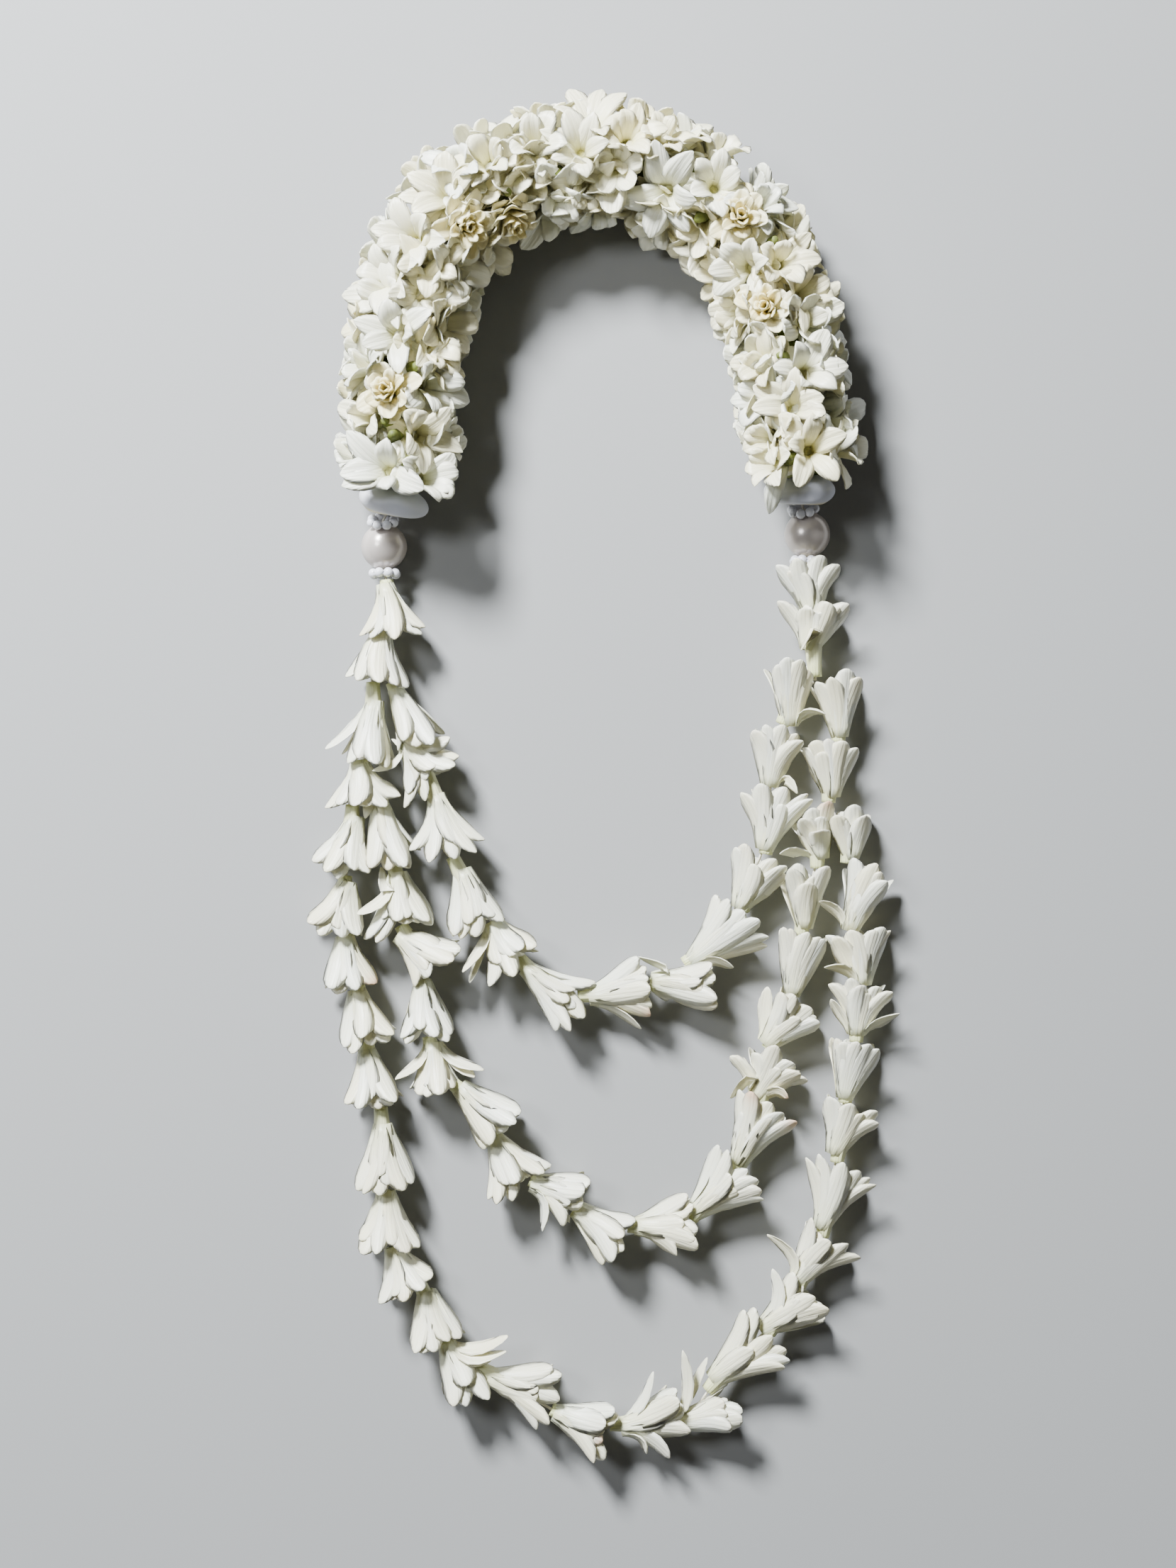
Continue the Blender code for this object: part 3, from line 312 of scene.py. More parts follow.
RIGHT_SHARED = (
    ((1169, 1132), (1172, 1105), ((1133, 1055), (1148, 1045), (1168, 1042), (1190, 1045), (1210, 1055))),
    ((1183, 1048), (1184, 1020), ((1152, 962), (1172, 955), (1195, 943), (1213, 955))),
)
RIGHT_LEAD = (
    ((1150, 955), (1145, 898), ((1097, 848), (1137, 857), (1185, 857), (1198, 852), (1170, 850)),
     (1130, 918)),
    ((1145, 865), (1143, 848), ((1095, 797), (1113, 805), (1123, 787), (1160, 783), (1185, 797))),
)

# Stations along the collar, in mm, where one body of blooms ends and the next begins
COLLAR_JOINTS = (26, 55, 88, 112, 141, 168, 191, 218, 250, 272)

# Rows of blooms on the sides and underside: angle from straight up, pitch, form, and how
# far their throats lie inside the other blooms'
HIDDEN_ROWS = (
    (-72, 22, "half", 1.5), (78, 20, "half", 1.5), (100, 17, "half", 1.5), (-100, 17, "half", 1.5),
    (138, 17, "star", 0.0), (-138, 17, "star", 0.0), (180, 15, "star", 0.0),
)

# Lowest height at which a row's blooms can open
ROW_FLOOR = 4.5

# How a bloom's petals stand, by form: reach out from its axis, rise above its throat,
# width, number, and the height (swell) and radius (bend) of the handle before the tip, as
# shares of rise and reach
BLOOM_FORMS = {
    "star": {"reach": 15.5, "rise": 4.6, "width": 8.4, "count": 6, "swell": 1.35, "bend": 0.6},
    "half": {"reach": 12.5, "rise": 8.6, "width": 8.0, "count": 6, "swell": 0.9, "bend": 0.75},
    "cup": {"reach": 8.5, "rise": 8.2, "width": 9.0, "count": 6, "swell": 0.45, "bend": 1.05},
    "bud": {"reach": 1.5, "rise": 9.0, "width": 7.0, "count": 6, "swell": 0.3, "bend": 3.4},
}

# Ranges that the looks of a petal are drawn from in each kind of flower, in this order
# The throat tint darkens a petal's root deep in its bloom: partly the throat's own yellow, partly painted
# shade
BLOOM_LOOKS = {"point": (0.35, 1.25), "cup": (0.15, 0.5), "curl": (0.05, 0.4), "twist": (-0.22, 0.22),
               "sway": (-0.8, 0.8), "amber": (0.3, 0.6), "thin": (0.8, 1.1)}
ROSETTE_LOOKS = {"point": (0.0, 0.7), "cup": (0.4, 0.8), "curl": (0.0, 0.3), "twist": (-0.4, 0.4),
                 "cream": (0.35, 0.7)}
FLORET_LOOKS = {"point": (0.0, 0.8), "cup": (0.25, 0.5), "curl": (0.0, 0.15), "twist": (-0.2, 0.2),
                "sway": (-1.0, 1.0), "cream": (0.05, 0.4)}

# Radius and height, about the throat, of a petal's root in each kind of flower
BLOOM_ROOT = (1.3, -5.0)
ROSETTE_ROOT = (0.8, -4.0)
FLORET_ROOT = (2.3, -5.0)

# How far a traced petal's rise strays, the most cream that a single bloom takes on, and
# the ranges of a filling petal's reach and width as shares of its form's, and of how much
# less it rises
TRACED_STRAY = (-1.8, 0.5)
MOST_CREAM = 0.55
FILL_REACH = (0.82, 1.0)
FILL_WIDTH = (0.9, 1.0)
FILL_SINK = (1.0, 3.8)

# Petals of the whorl that lies behind an open bloom's own six: number, how far below they
# start, and the ranges of their reach and rise
UNDER_PETALS = 6
UNDER_DEPTH = 4.0
UNDER_REACH = (10.0, 14.0)
UNDER_RISE = (-1.5, 2.0)

# A bloom's tube: how far below the throat it ends, and its radius, its greenness at foot
# and end, and the yellow-brown at its end, partly the throat's own tint and partly painted
# shade deep in the throat
TUBE_DEPTH = 4.5
TUBE_END = (2.6, 1.0, 0.6, 0.6)

# Bits of green stalk that show between the blooms, in pixels, and how far past the
# blooms' throats they reach
CALYX_SPOTS = (
    (716, 271), (787, 241), (934, 229), (983, 310), (1090, 341), (1102, 502), (1115, 598), (1113, 645),
    (583, 517), (545, 595), (555, 613), (580, 650),
)
STALK_RISE = 3.4

# A long loose petal that lies over the right cap: its root in pixels and its height, then its tip's
LOOSE_PETAL = ((1107, 655), 33.0, (1085, 725), 24.0)

# Furthest that a seen bloom turns from facing straight up, and the least gap between its
# traced petals that another one fills
MOST_LEAN = math.radians(62)
LEAST_GAP = math.radians(52)

# Length of an open bloom's petal, how high above its throat one that looks short may
# stand, and the limits of how far a traced one reaches
PETAL_LENGTH = 15.5
MOST_RISE = 6.2
SHORTEST_REACH = 4.5
LONGEST_REACH = 19.0

# How near an end of the collar a bloom must be to keep its petals off the cap, and the
# cosine of the angle to the collar's end within which it holds none
END_REACH = 14.0
MOST_AWAY = 0.35

# Whorls of a double bloom, from the outside in: number, reach, rise and width
ROSETTE_WHORLS = (
    (6, 12.6, 2.8, 7.8), (6, 9.6, 5.8, 6.6), (5, 7.0, 7.8, 4.8), (4, 4.4, 9.0, 3.8), (3, 1.8, 9.4, 3.2),
)

# Angles from straight up, in degrees, of the petals that a floret has by rule: those
# under it, and those inside the traced ones. Then how far the two spread, and how far
# above the surface the lower ones stay
LOWER_PETALS = (125, 180, 235)
UPPER_PETALS = (-66, -22, 22, 66)
LOWER_SPREAD = 11.0
UPPER_SPREAD = (4.5, 8.0)
LOWER_GAP = 0.4

# Heights above a strand's middle at which a floret's tips are read: for the way it opens,
# for how far a tip lies to the side, and the lowest for a tip's place, which rises by a
# share of the spread that is left. Then the limits of how far its petals run forwards
OPENING_RISE = 5.0
ASIDE_RISE = 6.0
TIP_RISE = 1.5
TIP_SHARES = (0.3, 0.75)
LEAST_SPREAD = 3.0
FORWARD_LIMITS = (7.0, 17.0)

# A floret's tube: its radius at the foot and the end, and its greenness at each
FLORET_TUBE = (2.3, 3.4, 0.6, 0.12)

# How beige a bruised tip is, how beige a faintly marked one, and the share of those
BRUISED = 0.9
MARKED = 0.15
MARKED_SHARE = 0.2

# What a petal has unless it says otherwise
PLAIN_PETAL = {"point": 0.0, "cup": 0.2, "curl": 0.2, "twist": 0.0, "sway": 0.0, "base": 0.4, "amber": 0.0,
               "green": 0.0, "cream": 0.0, "blush": 0.0, "thin": 1.0}

# A petal's rings from root to tip as shares of its length, and its cross-section's
# corners: a share of the half width, and the side they lie on
PETAL_RINGS = np.array((0.0, 0.14, 0.3, 0.47, 0.64, 0.8, 0.92, 0.985))
PETAL_ACROSS = np.array((-1.0, -0.55, 0.0, 0.55, 1.0, 0.55, 0.0, -0.55))
PETAL_SIDE = np.array((0.0, 1.0, 1.0, 1.0, 0.0, -1.0, -1.0, -1.0))

# Where a petal is broadest, as a share of its length, the depth of the groove along it
# and its half width as a share of the petal's, and the most that its rims ripple, as a
# share of the same, with the number of waves
BROADEST = 0.62
GROOVE_DEPTH = 0.36
GROOVE_WIDTH = 0.3
MOST_RIPPLE = 0.16
RIPPLE_WAVES = 1.4

# Tints that a piece carries as attributes, and the shares of a petal's length at which
# two of them end and the last begins
TINTS = ("amber", "green", "cream", "blush")
# The throat tint fades out this far up a petal: partly the throat's own yellow, partly painted shade in the
# recess
THROAT_SHADE_REACH = 0.34
GREEN_REACH = 0.45
BLUSH_START = 0.72

# A tube's rings, corners and ribs, the ribs' depth as a share of its radius, the width
# that its pattern counts a radian as, and how cream it is
TUBE_RINGS = np.array((0.0, 0.12, 0.35, 0.6, 0.82, 1.0))
TUBE_SIDES = 18
TUBE_RIBS = 6
RIB_DEPTH = 0.05
TUBE_GIRTH = 3.0
TUBE_CREAM = 0.35

# A cap's depth, rings, corners, the arc its section runs through, the radius of its hole,
# the height of the waves in its lip, and the width that its pattern counts a radian as
CAP_DEPTH = 10.5
CAP_RINGS = 20
CAP_SIDES = 72
CAP_ARC = math.radians(142)
CAP_BORE = 1.1
CAP_LIP = 1.6
CAP_GIRTH = 6.0

# A cap's wall at its closed end and how much thinner its lip is, and the dent in its top:
# depth as a share of the radius, place along the cap, turn off straight up, and widths
CAP_WALL = 0.8
CAP_THINNING = 0.2
DENT_DEPTH = 0.13
DENT_PLACE = 0.62
DENT_TURN = 0.25
DENT_LENGTH = 0.2
DENT_WIDTH = 0.5

# Middles of the rings of beads and of the pearls, and the way the thread runs through them
BEAD_RINGS = {
    "left_upper_beads": ((-75.0, -122.7, 12.9), (0.0, -8.5, -4.5)),
    "left_lower_beads": ((-74.8, -140.7, 8.8), (0.1, -9.0, 0.6)),
    "right_upper_beads": ((71.0, -118.6, 12.9), (1.8, -8.3, -4.5)),
    "right_lower_beads": ((72.2, -136.4, 8.8), (-0.6, -9.0, 0.6)),
}
PEARLS = {
    "left_pearl": ((-75.0, -131.2, 8.4), (0.1, -9.0, 0.2)),
    "right_pearl": ((72.8, -126.9, 8.4), (-0.3, -9.0, 0.2)),
}

# The triangles of a piece that has none
NO_FANS = np.empty((0, 3), dtype=int)


def linear(code):
    """A screen colour written as a hex code, turned into the linear one that a shader takes."""
    levels = [int(code[start:start + 2], 16) / 255 for start in (1, 3, 5)]
    return tuple(level / 12.92 if level <= 0.04045 else ((level + 0.055) / 1.055) ** 2.4 for level in levels)


def size_in_mm(name, description, default, low, high):
    """The property of a size, in mm."""
    return FloatProperty(name=name, description=description + " in mm", default=default, min=low, max=high)


def colour_of(name, description, code):
    """The property of a colour, whose default is written as a hex code."""
    return FloatVectorProperty(name=name, description=description, subtype="COLOR",
                               default=linear(code), min=0.0, max=1.0)


class LeiSizes(bpy.types.PropertyGroup):
    """Sizes of the lei's pieces."""

    petal_thickness: size_in_mm("Petal thickness", "Thickness of a petal at its middle", 0.9, 0.3, 2.0)
    floret_petal_width: size_in_mm("Floret petal width", "Width of a strand floret's petal", 8.2, 3.0, 10.0)
    pearl_across: size_in_mm("Pearl", "Diameter of a pearl", 16.0, 8.0, 20.0)
    bead_across: size_in_mm("Bead", "Diameter of a small bead", 3.4, 1.5, 5.0)
    beads_in_ring: IntProperty(name="Beads in a ring", description="Number of beads round the thread",
                               default=8, min=5, max=16)
    cap_radius: size_in_mm("Cap", "Radius of a cap's mouth", 11.5, 6.0, 15.0)
    seed: IntProperty(name="Seed", description="Start of every random draw", default=11, min=0)


class LeiColours(bpy.types.PropertyGroup):
    """Colours of the lei's materials."""

    petal: colour_of("Petal", "Waxy white of an open petal", "#e4e5d5")
    # Cream also tints the caps' lip and left side, where it is partly painted light
    cream: colour_of("Cream", "Cream of the double blooms", "#ecdc9c")
    # Throat: partly the throat's own yellow, partly painted shade deep in a bloom
    throat: colour_of("Throat", "Yellow-brown deep in a bloom", "#b8a850")
    green: colour_of("Green", "Yellow-green at the foot of a tube", "#b6c070")
    calyx: colour_of("Calyx", "Olive green between the blooms", "#808a42")
    blush: colour_of("Blush", "Beige of a bruised petal tip", "#c9a184")
    cap: colour_of("Cap", "Cool satin white of the folded caps", "#c6c8d2")
    pearl: colour_of("Pearl", "Nacre of the pearls", "#d3cbc5")
    pearl_cloud: colour_of("Pearl cloud", "Warmer clouds in the nacre", "#b8aca1")
    bead: colour_of("Bead", "Milky white of the small beads", "#e9e9ee")
    thread: colour_of("Thread", "Cotton thread", "#d8d2c2")
    floor: colour_of("Floor", "Pale floor", "#949493")


def settings():
    """The sizes and the colours that the panel shows."""
    return bpy.context.scene.lei_sizes, bpy.context.scene.lei_colours


def unit(vectors):
    """Vectors along the last axis, made one long."""
    vectors = np.asarray(vectors, dtype=float)
    return vectors / np.maximum(np.linalg.norm(vectors, axis=-1, keepdims=True), 1e-9)


def across_axis(axis, nudge=0.0):
    """Two directions square to an axis and to each other, the first of them all but level."""
    side = unit(np.cross(axis, UP + nudge))
    return side, np.cross(side, axis)


def circle(sides):
    """Angles that lie evenly round a circle."""
    return math.tau * np.arange(sides) / sides


def spoke(side, rise, angle):
    """The direction at an angle between two square ones: cosine along the one, sine along the other."""
    angle = np.asarray(angle)[..., None]
    return side * np.cos(angle) + rise * np.sin(angle)


def at(spot, height):
    """The place in mm that a pixel shows at a height, on the straight line from the camera through it."""
    x, y, z = CAMERA_PLACE
    size = PIXEL * (z - height) / z
    right, up = spot[0] - PHOTO_SIZE[0] / 2, PHOTO_SIZE[1] / 2 - spot[1]
    return np.array((x + right * size, y + up * size, height))


def on_plane(spot, point, normal):
    """Where the line of sight through a pixel meets a plane, or None where the plane is seen edge on."""
    camera = np.array(CAMERA_PLACE)
    sight = at(spot, 0.0) - camera
    slope = float(sight @ normal)
    if abs(slope) < EDGE_ON * np.linalg.norm(sight):
        return None
    return camera + sight * float((point - camera) @ normal) / slope


def smooth_line(points, steps=24):
    """A Catmull-Rom curve: each span is a cubic that leaves and arrives along its neighbours' chord."""
    points = np.array(points, dtype=float)
    ends = np.vstack((2 * points[0] - points[1], points, 2 * points[-1] - points[-2]))
    before, start, end, after = (ends[shift:len(points) - 1 + shift, None] for shift in range(4))
    t = (np.arange(steps) / steps)[None, :, None]
    spans = 0.5 * (2 * start + (end - before) * t + (2 * before - 5 * start + 4 * end - after) * t ** 2
                   + (3 * start - before - 3 * end + after) * t ** 3)
    return np.vstack((spans.reshape(-1, points.shape[1]), points[-1]))


class Route:
    """A level line read by its station in mm, as the collar's middle."""

    def __init__(self, points):
        self.line = smooth_line(points)
        self.stations = np.concatenate(([0.0], np.cumsum(np.linalg.norm(np.diff(self.line, axis=0), axis=1))))
        self.length = float(self.stations[-1])

    def place(self, station, height=COLLAR_AXIS_HEIGHT):
        """The line's place at a station, linear between its points."""
        x, y = (np.interp(station, self.stations, self.line[:, axis]) for axis in (0, 1))
        return np.array((x, y, height))

    def heading(self, station):
        """The way the line runs, from just before a station to just after it."""
        low = max(station - HEADING_STEP, 0.0)
        high = min(station + HEADING_STEP, self.length)
        return unit(self.place(high) - self.place(low))

    def outer(self, station):
        """The level direction away from the collar's inside."""
        return np.cross(UP, self.heading(station))

    def nearest(self, spot):
        """The station beside a place and its distance from the line, positive on the outer side."""
        station = float(self.stations[np.argmin(np.linalg.norm(self.line - spot[:2], axis=1))])
        return station, float((spot - self.place(station))[:2] @ self.outer(station)[:2])

    def end_way(self, station):
        """The direction out of the collar's nearest end, or None away from both."""
        if station < END_REACH:
            return -self.heading(0.0)
        if station > self.length - END_REACH:
            return self.heading(self.length)
        return None


class Sheaf:
    """Petals and tubes gathered for one piece, each a few numbers, until they become one mesh."""

    def __init__(self, seed):
        self.petals = []
        self.tubes = []
        self.rng = np.random.default_rng(seed)

    def petal(self, throat, opening, radial, line, width, **looks):
        """Adds a petal whose middle line is four (radius, height) handles about its bloom's axis."""
        handles = [throat + radial * radius + opening * height for radius, height in line]
        self.petals.append({"line": handles, "across": np.cross(radial, opening), "width": width,
                            **PLAIN_PETAL, **looks})

    def tube(self, start, end, start_radius, end_radius, start_green, end_green, amber=0.0):
        """Adds a tube by its ends, the radius and greenness at each, and the throat colour at the
        second, partly the throat's own tint and partly painted shade.
        """
        self.tubes.append((start, end, start_radius, end_radius, start_green, end_green, amber))

    def parts(self):
        """The mesh arrays of its petals and tubes."""
        arrays = [petal_arrays(self.petals, settings()[0].petal_thickness, self.rng)]
        if self.tubes:
            arrays.append(tube_arrays(self.tubes))
        return arrays


def ring_quads(rings, sides, closed):
    """Quads between each ring of corners and the next, and from the last to the first where closed."""
    ring = np.arange(rings if closed else rings - 1)[:, None] * sides
    after = (ring + sides) % (rings * sides)
    step = np.arange(sides)[None, :]
    turn = (step + 1) % sides
    return np.stack((ring + step, ring + turn, after + turn, after + step), axis=-1).reshape(-1, 4)


def closed_lofts(corners, poles, flat, flat_poles, tints):
    """The arrays of several shapes, each of rings of corners joined by quads and closed by fans to its
    two poles. Corners are numbered ring by ring, then the root's pole and the tip's."""
    count, rings, sides = corners.shape[:3]
    start = (np.arange(count) * (rings * sides + 2))[:, None]
    quads = (start[..., None] + ring_quads(rings, sides, False)).reshape(-1, 4)
    side = np.arange(sides)[None, :]
    after = (side + 1) % sides
    last = start + (rings - 1) * sides
    root = np.broadcast_to(start + rings * sides, (count, sides))
    root_fan = np.stack((start + after, start + side, root), axis=-1)
    tip_fan = np.stack((last + side, last + after, root + 1), axis=-1)
    fans = np.vstack((root_fan.reshape(-1, 3), tip_fan.reshape(-1, 3)))
    places = np.concatenate((corners.reshape(count, -1, 3), poles), axis=1).reshape(-1, 3)
    flat = np.concatenate((flat.reshape(count, -1, 2), flat_poles), axis=1).reshape(-1, 2)
    return places, quads, fans, flat, {key: tint.reshape(-1) for key, tint in tints.items()}


def petal_arrays(petals, thickness, rng):
    """Every petal of a piece at once: a lens-shaped section swept along a cubic Bezier line.

    Half width = width / 2 x (root share + rise as a quarter sine) up to the broadest
    place, then (1 - share^a)^b to the tip, with a and b larger for a rounder tip. The
    section bends up by cup x v^2, rolls back by curl x v^6 at the rims, turns evenly
    by twist, ripples by a sine along the rims, and has a bell-shaped groove.
    """
    def column(name):
        """One of the looks of all petals, as a column beside the rings."""
        return np.array([petal[name] for petal in petals], dtype=float)[:, None]

    count = len(petals)
    handles = np.array([petal["line"] for petal in petals])[:, None]
    u = PETAL_RINGS[None, :, None]
    first, second, third, fourth = (handles[:, :, index] for index in range(4))
    middle = ((1 - u) ** 3 * first + 3 * u * (1 - u) ** 2 * second + 3 * u ** 2 * (1 - u) * third
              + u ** 3 * fourth)
    slope = (1 - u) ** 2 * (second - first) + 2 * u * (1 - u) * (third - second) + u ** 2 * (fourth - third)
    along = unit(slope)
    length = np.linalg.norm(np.diff(middle, axis=1), axis=2).sum(axis=1)[:, None]
    normal = unit(np.cross(np.array([petal["across"] for petal in petals])[:, None], along))
    across = np.cross(along, normal)
    u = PETAL_RINGS[None, :]
    turn = (column("twist") * u)[..., None]
    across, normal = (across * np.cos(turn) + normal * np.sin(turn),
                      normal * np.cos(turn) - across * np.sin(turn))
    point = column("point")
    broadest = BROADEST - 0.1 * point
    early = column("base") + (1 - column("base")) * np.sin(np.pi / 2 * np.minimum(u / broadest, 1.0))
    late = np.clip((u - broadest) / (1 - broadest), 0.0, 1.0)
    half = column("width") / 2 * (early * (1 - late ** (2.6 - 0.7 * point)) ** (0.55 + 0.2 * point))
    middle = middle + across * (column("sway") * np.sin(np.pi * u))[..., None]
    v = PETAL_ACROSS[None, None, :]
    phase = rng.uniform(0, math.tau, (count, 1, 1))
    waves = np.sin(math.tau * RIPPLE_WAVES * u[..., None] + phase)
    ripple = rng.uniform(0.0, MOST_RIPPLE, (count, 1, 1)) * waves * v * np.abs(v)
    bend = half[..., None] * (column("cup")[..., None] * (v ** 2 - 0.3)
                              - column("curl")[..., None] * v ** 6 + ripple)
    groove = GROOVE_DEPTH * np.exp(-(v / GROOVE_WIDTH) ** 2) * np.sin(np.pi * u)[..., None]
    deep = thickness / 2 * column("thin")[..., None] * (0.55 + 0.45 * np.sin(np.pi * u))[..., None]
    height = bend + deep * PETAL_SIDE * np.sqrt(np.clip(1 - v ** 2, 0, 1)) - groove
    spread = half[..., None] * v
    corners = (middle[:, :, None] + across[:, :, None] * spread[..., None]
               + normal[:, :, None] * height[..., None])
    poles = np.stack((handles[:, 0, 0], handles[:, 0, 3] + normal[:, -1] * height[:, -1, 2:3]), axis=1)
    flat = np.stack((spread, np.broadcast_to((u * length)[..., None], spread.shape)), axis=-1)
    flat_poles = np.zeros((count, 2, 2))
    flat_poles[:, 1, 1] = length[:, 0]
    share = np.concatenate((np.repeat(PETAL_RINGS, len(PETAL_ACROSS)), (0.0, 1.0)))[None, :]
    tints = {
        # Painted shade with the throat's own yellow, darkest at the root deep in the throat
        "amber": column("amber") * np.clip(1 - share / THROAT_SHADE_REACH, 0, 1) ** 1.3,
        "green": column("green") * np.clip(1 - share / GREEN_REACH, 0, 1),
        "cream": column("cream") * np.ones_like(share),
        "blush": column("blush") * np.clip((share - BLUSH_START) / (1 - BLUSH_START), 0, 1),
    }
    return closed_lofts(corners, poles, flat, flat_poles, tints)


def tube_arrays(tubes):
    """Every tube at once: a circle swept along a straight line.

    Its radius goes from one end's to the other's by the share to the power 1.5, and
    swells by a sixth-order cosine into six ribs.
    """
    count, rings = len(tubes), len(TUBE_RINGS)
    start, end = (np.array([tube[index] for tube in tubes])[:, None, None] for index in (0, 1))
    low, high, green_low, green_high, amber = (
        np.array([tube[index] for tube in tubes], dtype=float)[:, None, None] for index in range(2, 7))
    side, rise = across_axis(unit(end - start), TUBE_NUDGE)
    u = TUBE_RINGS[None, :, None]
    angle = circle(TUBE_SIDES)[None, None, :]
    radius = (low + (high - low) * u ** 1.5) * (1 + RIB_DEPTH * np.cos(TUBE_RIBS * angle))
    corners = start + (end - start) * u[..., None] + radius[..., None] * spoke(side, rise, angle)
    poles = np.concatenate((start[:, :, 0], end[:, :, 0]), axis=1)
    length = np.linalg.norm(end - start, axis=-1)
    flat = np.stack((np.broadcast_to(angle * TUBE_GIRTH, radius.shape),
                     np.broadcast_to(u * length, radius.shape)), axis=-1)
    green = np.broadcast_to(green_low + (green_high - green_low) * u, radius.shape).reshape(count, -1)
    green = np.concatenate((green, green_low[:, :, 0], green_high[:, :, 0]), axis=1)
    # The tube's end deep in the throat takes the throat colour: partly its own yellow, partly painted shade
    brown = np.concatenate((np.zeros((count, rings * TUBE_SIDES + 1)), amber[:, :, 0]), axis=1)
    tints = {"amber": brown, "green": green, "cream": np.full_like(green, TUBE_CREAM)}
    return closed_lofts(corners, poles, flat, np.zeros((count, 2, 2)), tints)


def core_arrays(route, low, high):
    """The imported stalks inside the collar: a circle along the route whose radius rises and falls by
    two crossed sines, a few mm apart."""
    stations = np.linspace(low + CORE_GAP, high - CORE_GAP, max(6, int((high - low) / CORE_STEP)))
    centres = np.array([route.place(station) for station in stations])[None, :, None]
    outers = np.array([route.outer(station) for station in stations])[None, :, None]
    angle = circle(CORE_SIDES)[None, None, :]
    along = stations[None, :, None]
    radius = CORE_RADIUS + CORE_SWELL * np.sin(5 * angle + along * 0.9) * np.cos(along * 1.1)
    corners = centres + radius[..., None] * spoke(outers, -UP, angle)
    poles = np.stack((centres[:, 0, 0], centres[:, -1, 0]), axis=1)
    return closed_lofts(corners, poles, np.zeros((*radius.shape, 2)), np.zeros((1, 2, 2)), {})


def sphere_arrays(centre, axis, radius, bore, sides, rings):
    """A bored ball: the angle from its axis runs evenly from where the bore cuts it on one side to
    the other, and the bore's wall closes it as a straight tube."""
    side, rise = across_axis(axis, BLOOM_NUDGE)
    start = math.asin(bore / radius)
    polar = np.linspace(start, math.pi - start, rings)[:, None, None]
    angle = circle(sides)[None, :]
    places = centre + radius * (axis * np.cos(polar) + np.sin(polar) * spoke(side, rise, angle))
    quads = ring_quads(rings, sides, True)[:, [0, 3, 2, 1]]
    return places.reshape(-1, 3), quads, NO_FANS, np.zeros((rings * sides, 2)), {}


def cap_arrays(closed_end, mouth, radius, turn):
    """A hood of one petal folded round the thread.

    Its section is the arc of a circle that passes its widest place and turns in. A bell
    curve dents its top, the lip waves by two sines, and the wall's two skins lie a
    petal's thickness apart. Its cream share rises at the lip and on the left side, towards
    the lamps: partly the petal's own cream edge, partly painted light.
    """
    axis = unit(mouth - closed_end)
    depth = float(np.linalg.norm(mouth - closed_end))
    side, rise = across_axis(axis)
    share = np.linspace(0.0, 1.0, CAP_RINGS)[:, None]
    angle = circle(CAP_SIDES)[None, :]
    wave = 1 + share * (0.07 * np.sin(2 * angle + turn) + 0.04 * np.sin(3 * angle + 2 * turn))
    arc = CAP_ARC * share
    dent = (DENT_DEPTH * np.exp(-((angle - np.pi / 2 - DENT_TURN) / DENT_WIDTH) ** 2)
            * np.exp(-((share - DENT_PLACE) / DENT_LENGTH) ** 2))
    bell = (CAP_BORE + (radius - CAP_BORE) * np.sin(arc)) * (wave - dent)
    reach = depth * 0.47 * (1 - np.cos(arc)) + share ** 4 * CAP_LIP * np.cos(angle + turn)
    wall = CAP_WALL - CAP_THINNING * share
    skins = []
    for gap in (wall, -wall):
        out = bell + gap * 0.5 * np.sin(arc)
        forward = reach - gap * 0.5 * np.cos(arc)
        skins.append(closed_end + out[..., None] * spoke(side, rise, angle) + forward[..., None] * axis)
    places = np.concatenate((skins[0], skins[1][::-1]))
    quads = ring_quads(2 * CAP_RINGS, CAP_SIDES, True)
    both = np.concatenate((share, share[::-1])) * np.ones((2 * CAP_RINGS, CAP_SIDES))
    flat = np.stack((np.broadcast_to(angle * CAP_GIRTH, both.shape), both * depth), axis=-1)
    # Cream at the lip and on the left side, towards the lamps: partly the petal's own cream edge, partly
    # painted light
    cream = 0.75 * np.clip((both - 0.84) / 0.12, 0, 1) + 0.12 * np.cos(angle) * np.clip(both * 2, 0, 1)
    return places.reshape(-1, 3), quads, NO_FANS, flat.reshape(-1, 2), {"cream": cream.reshape(-1)}


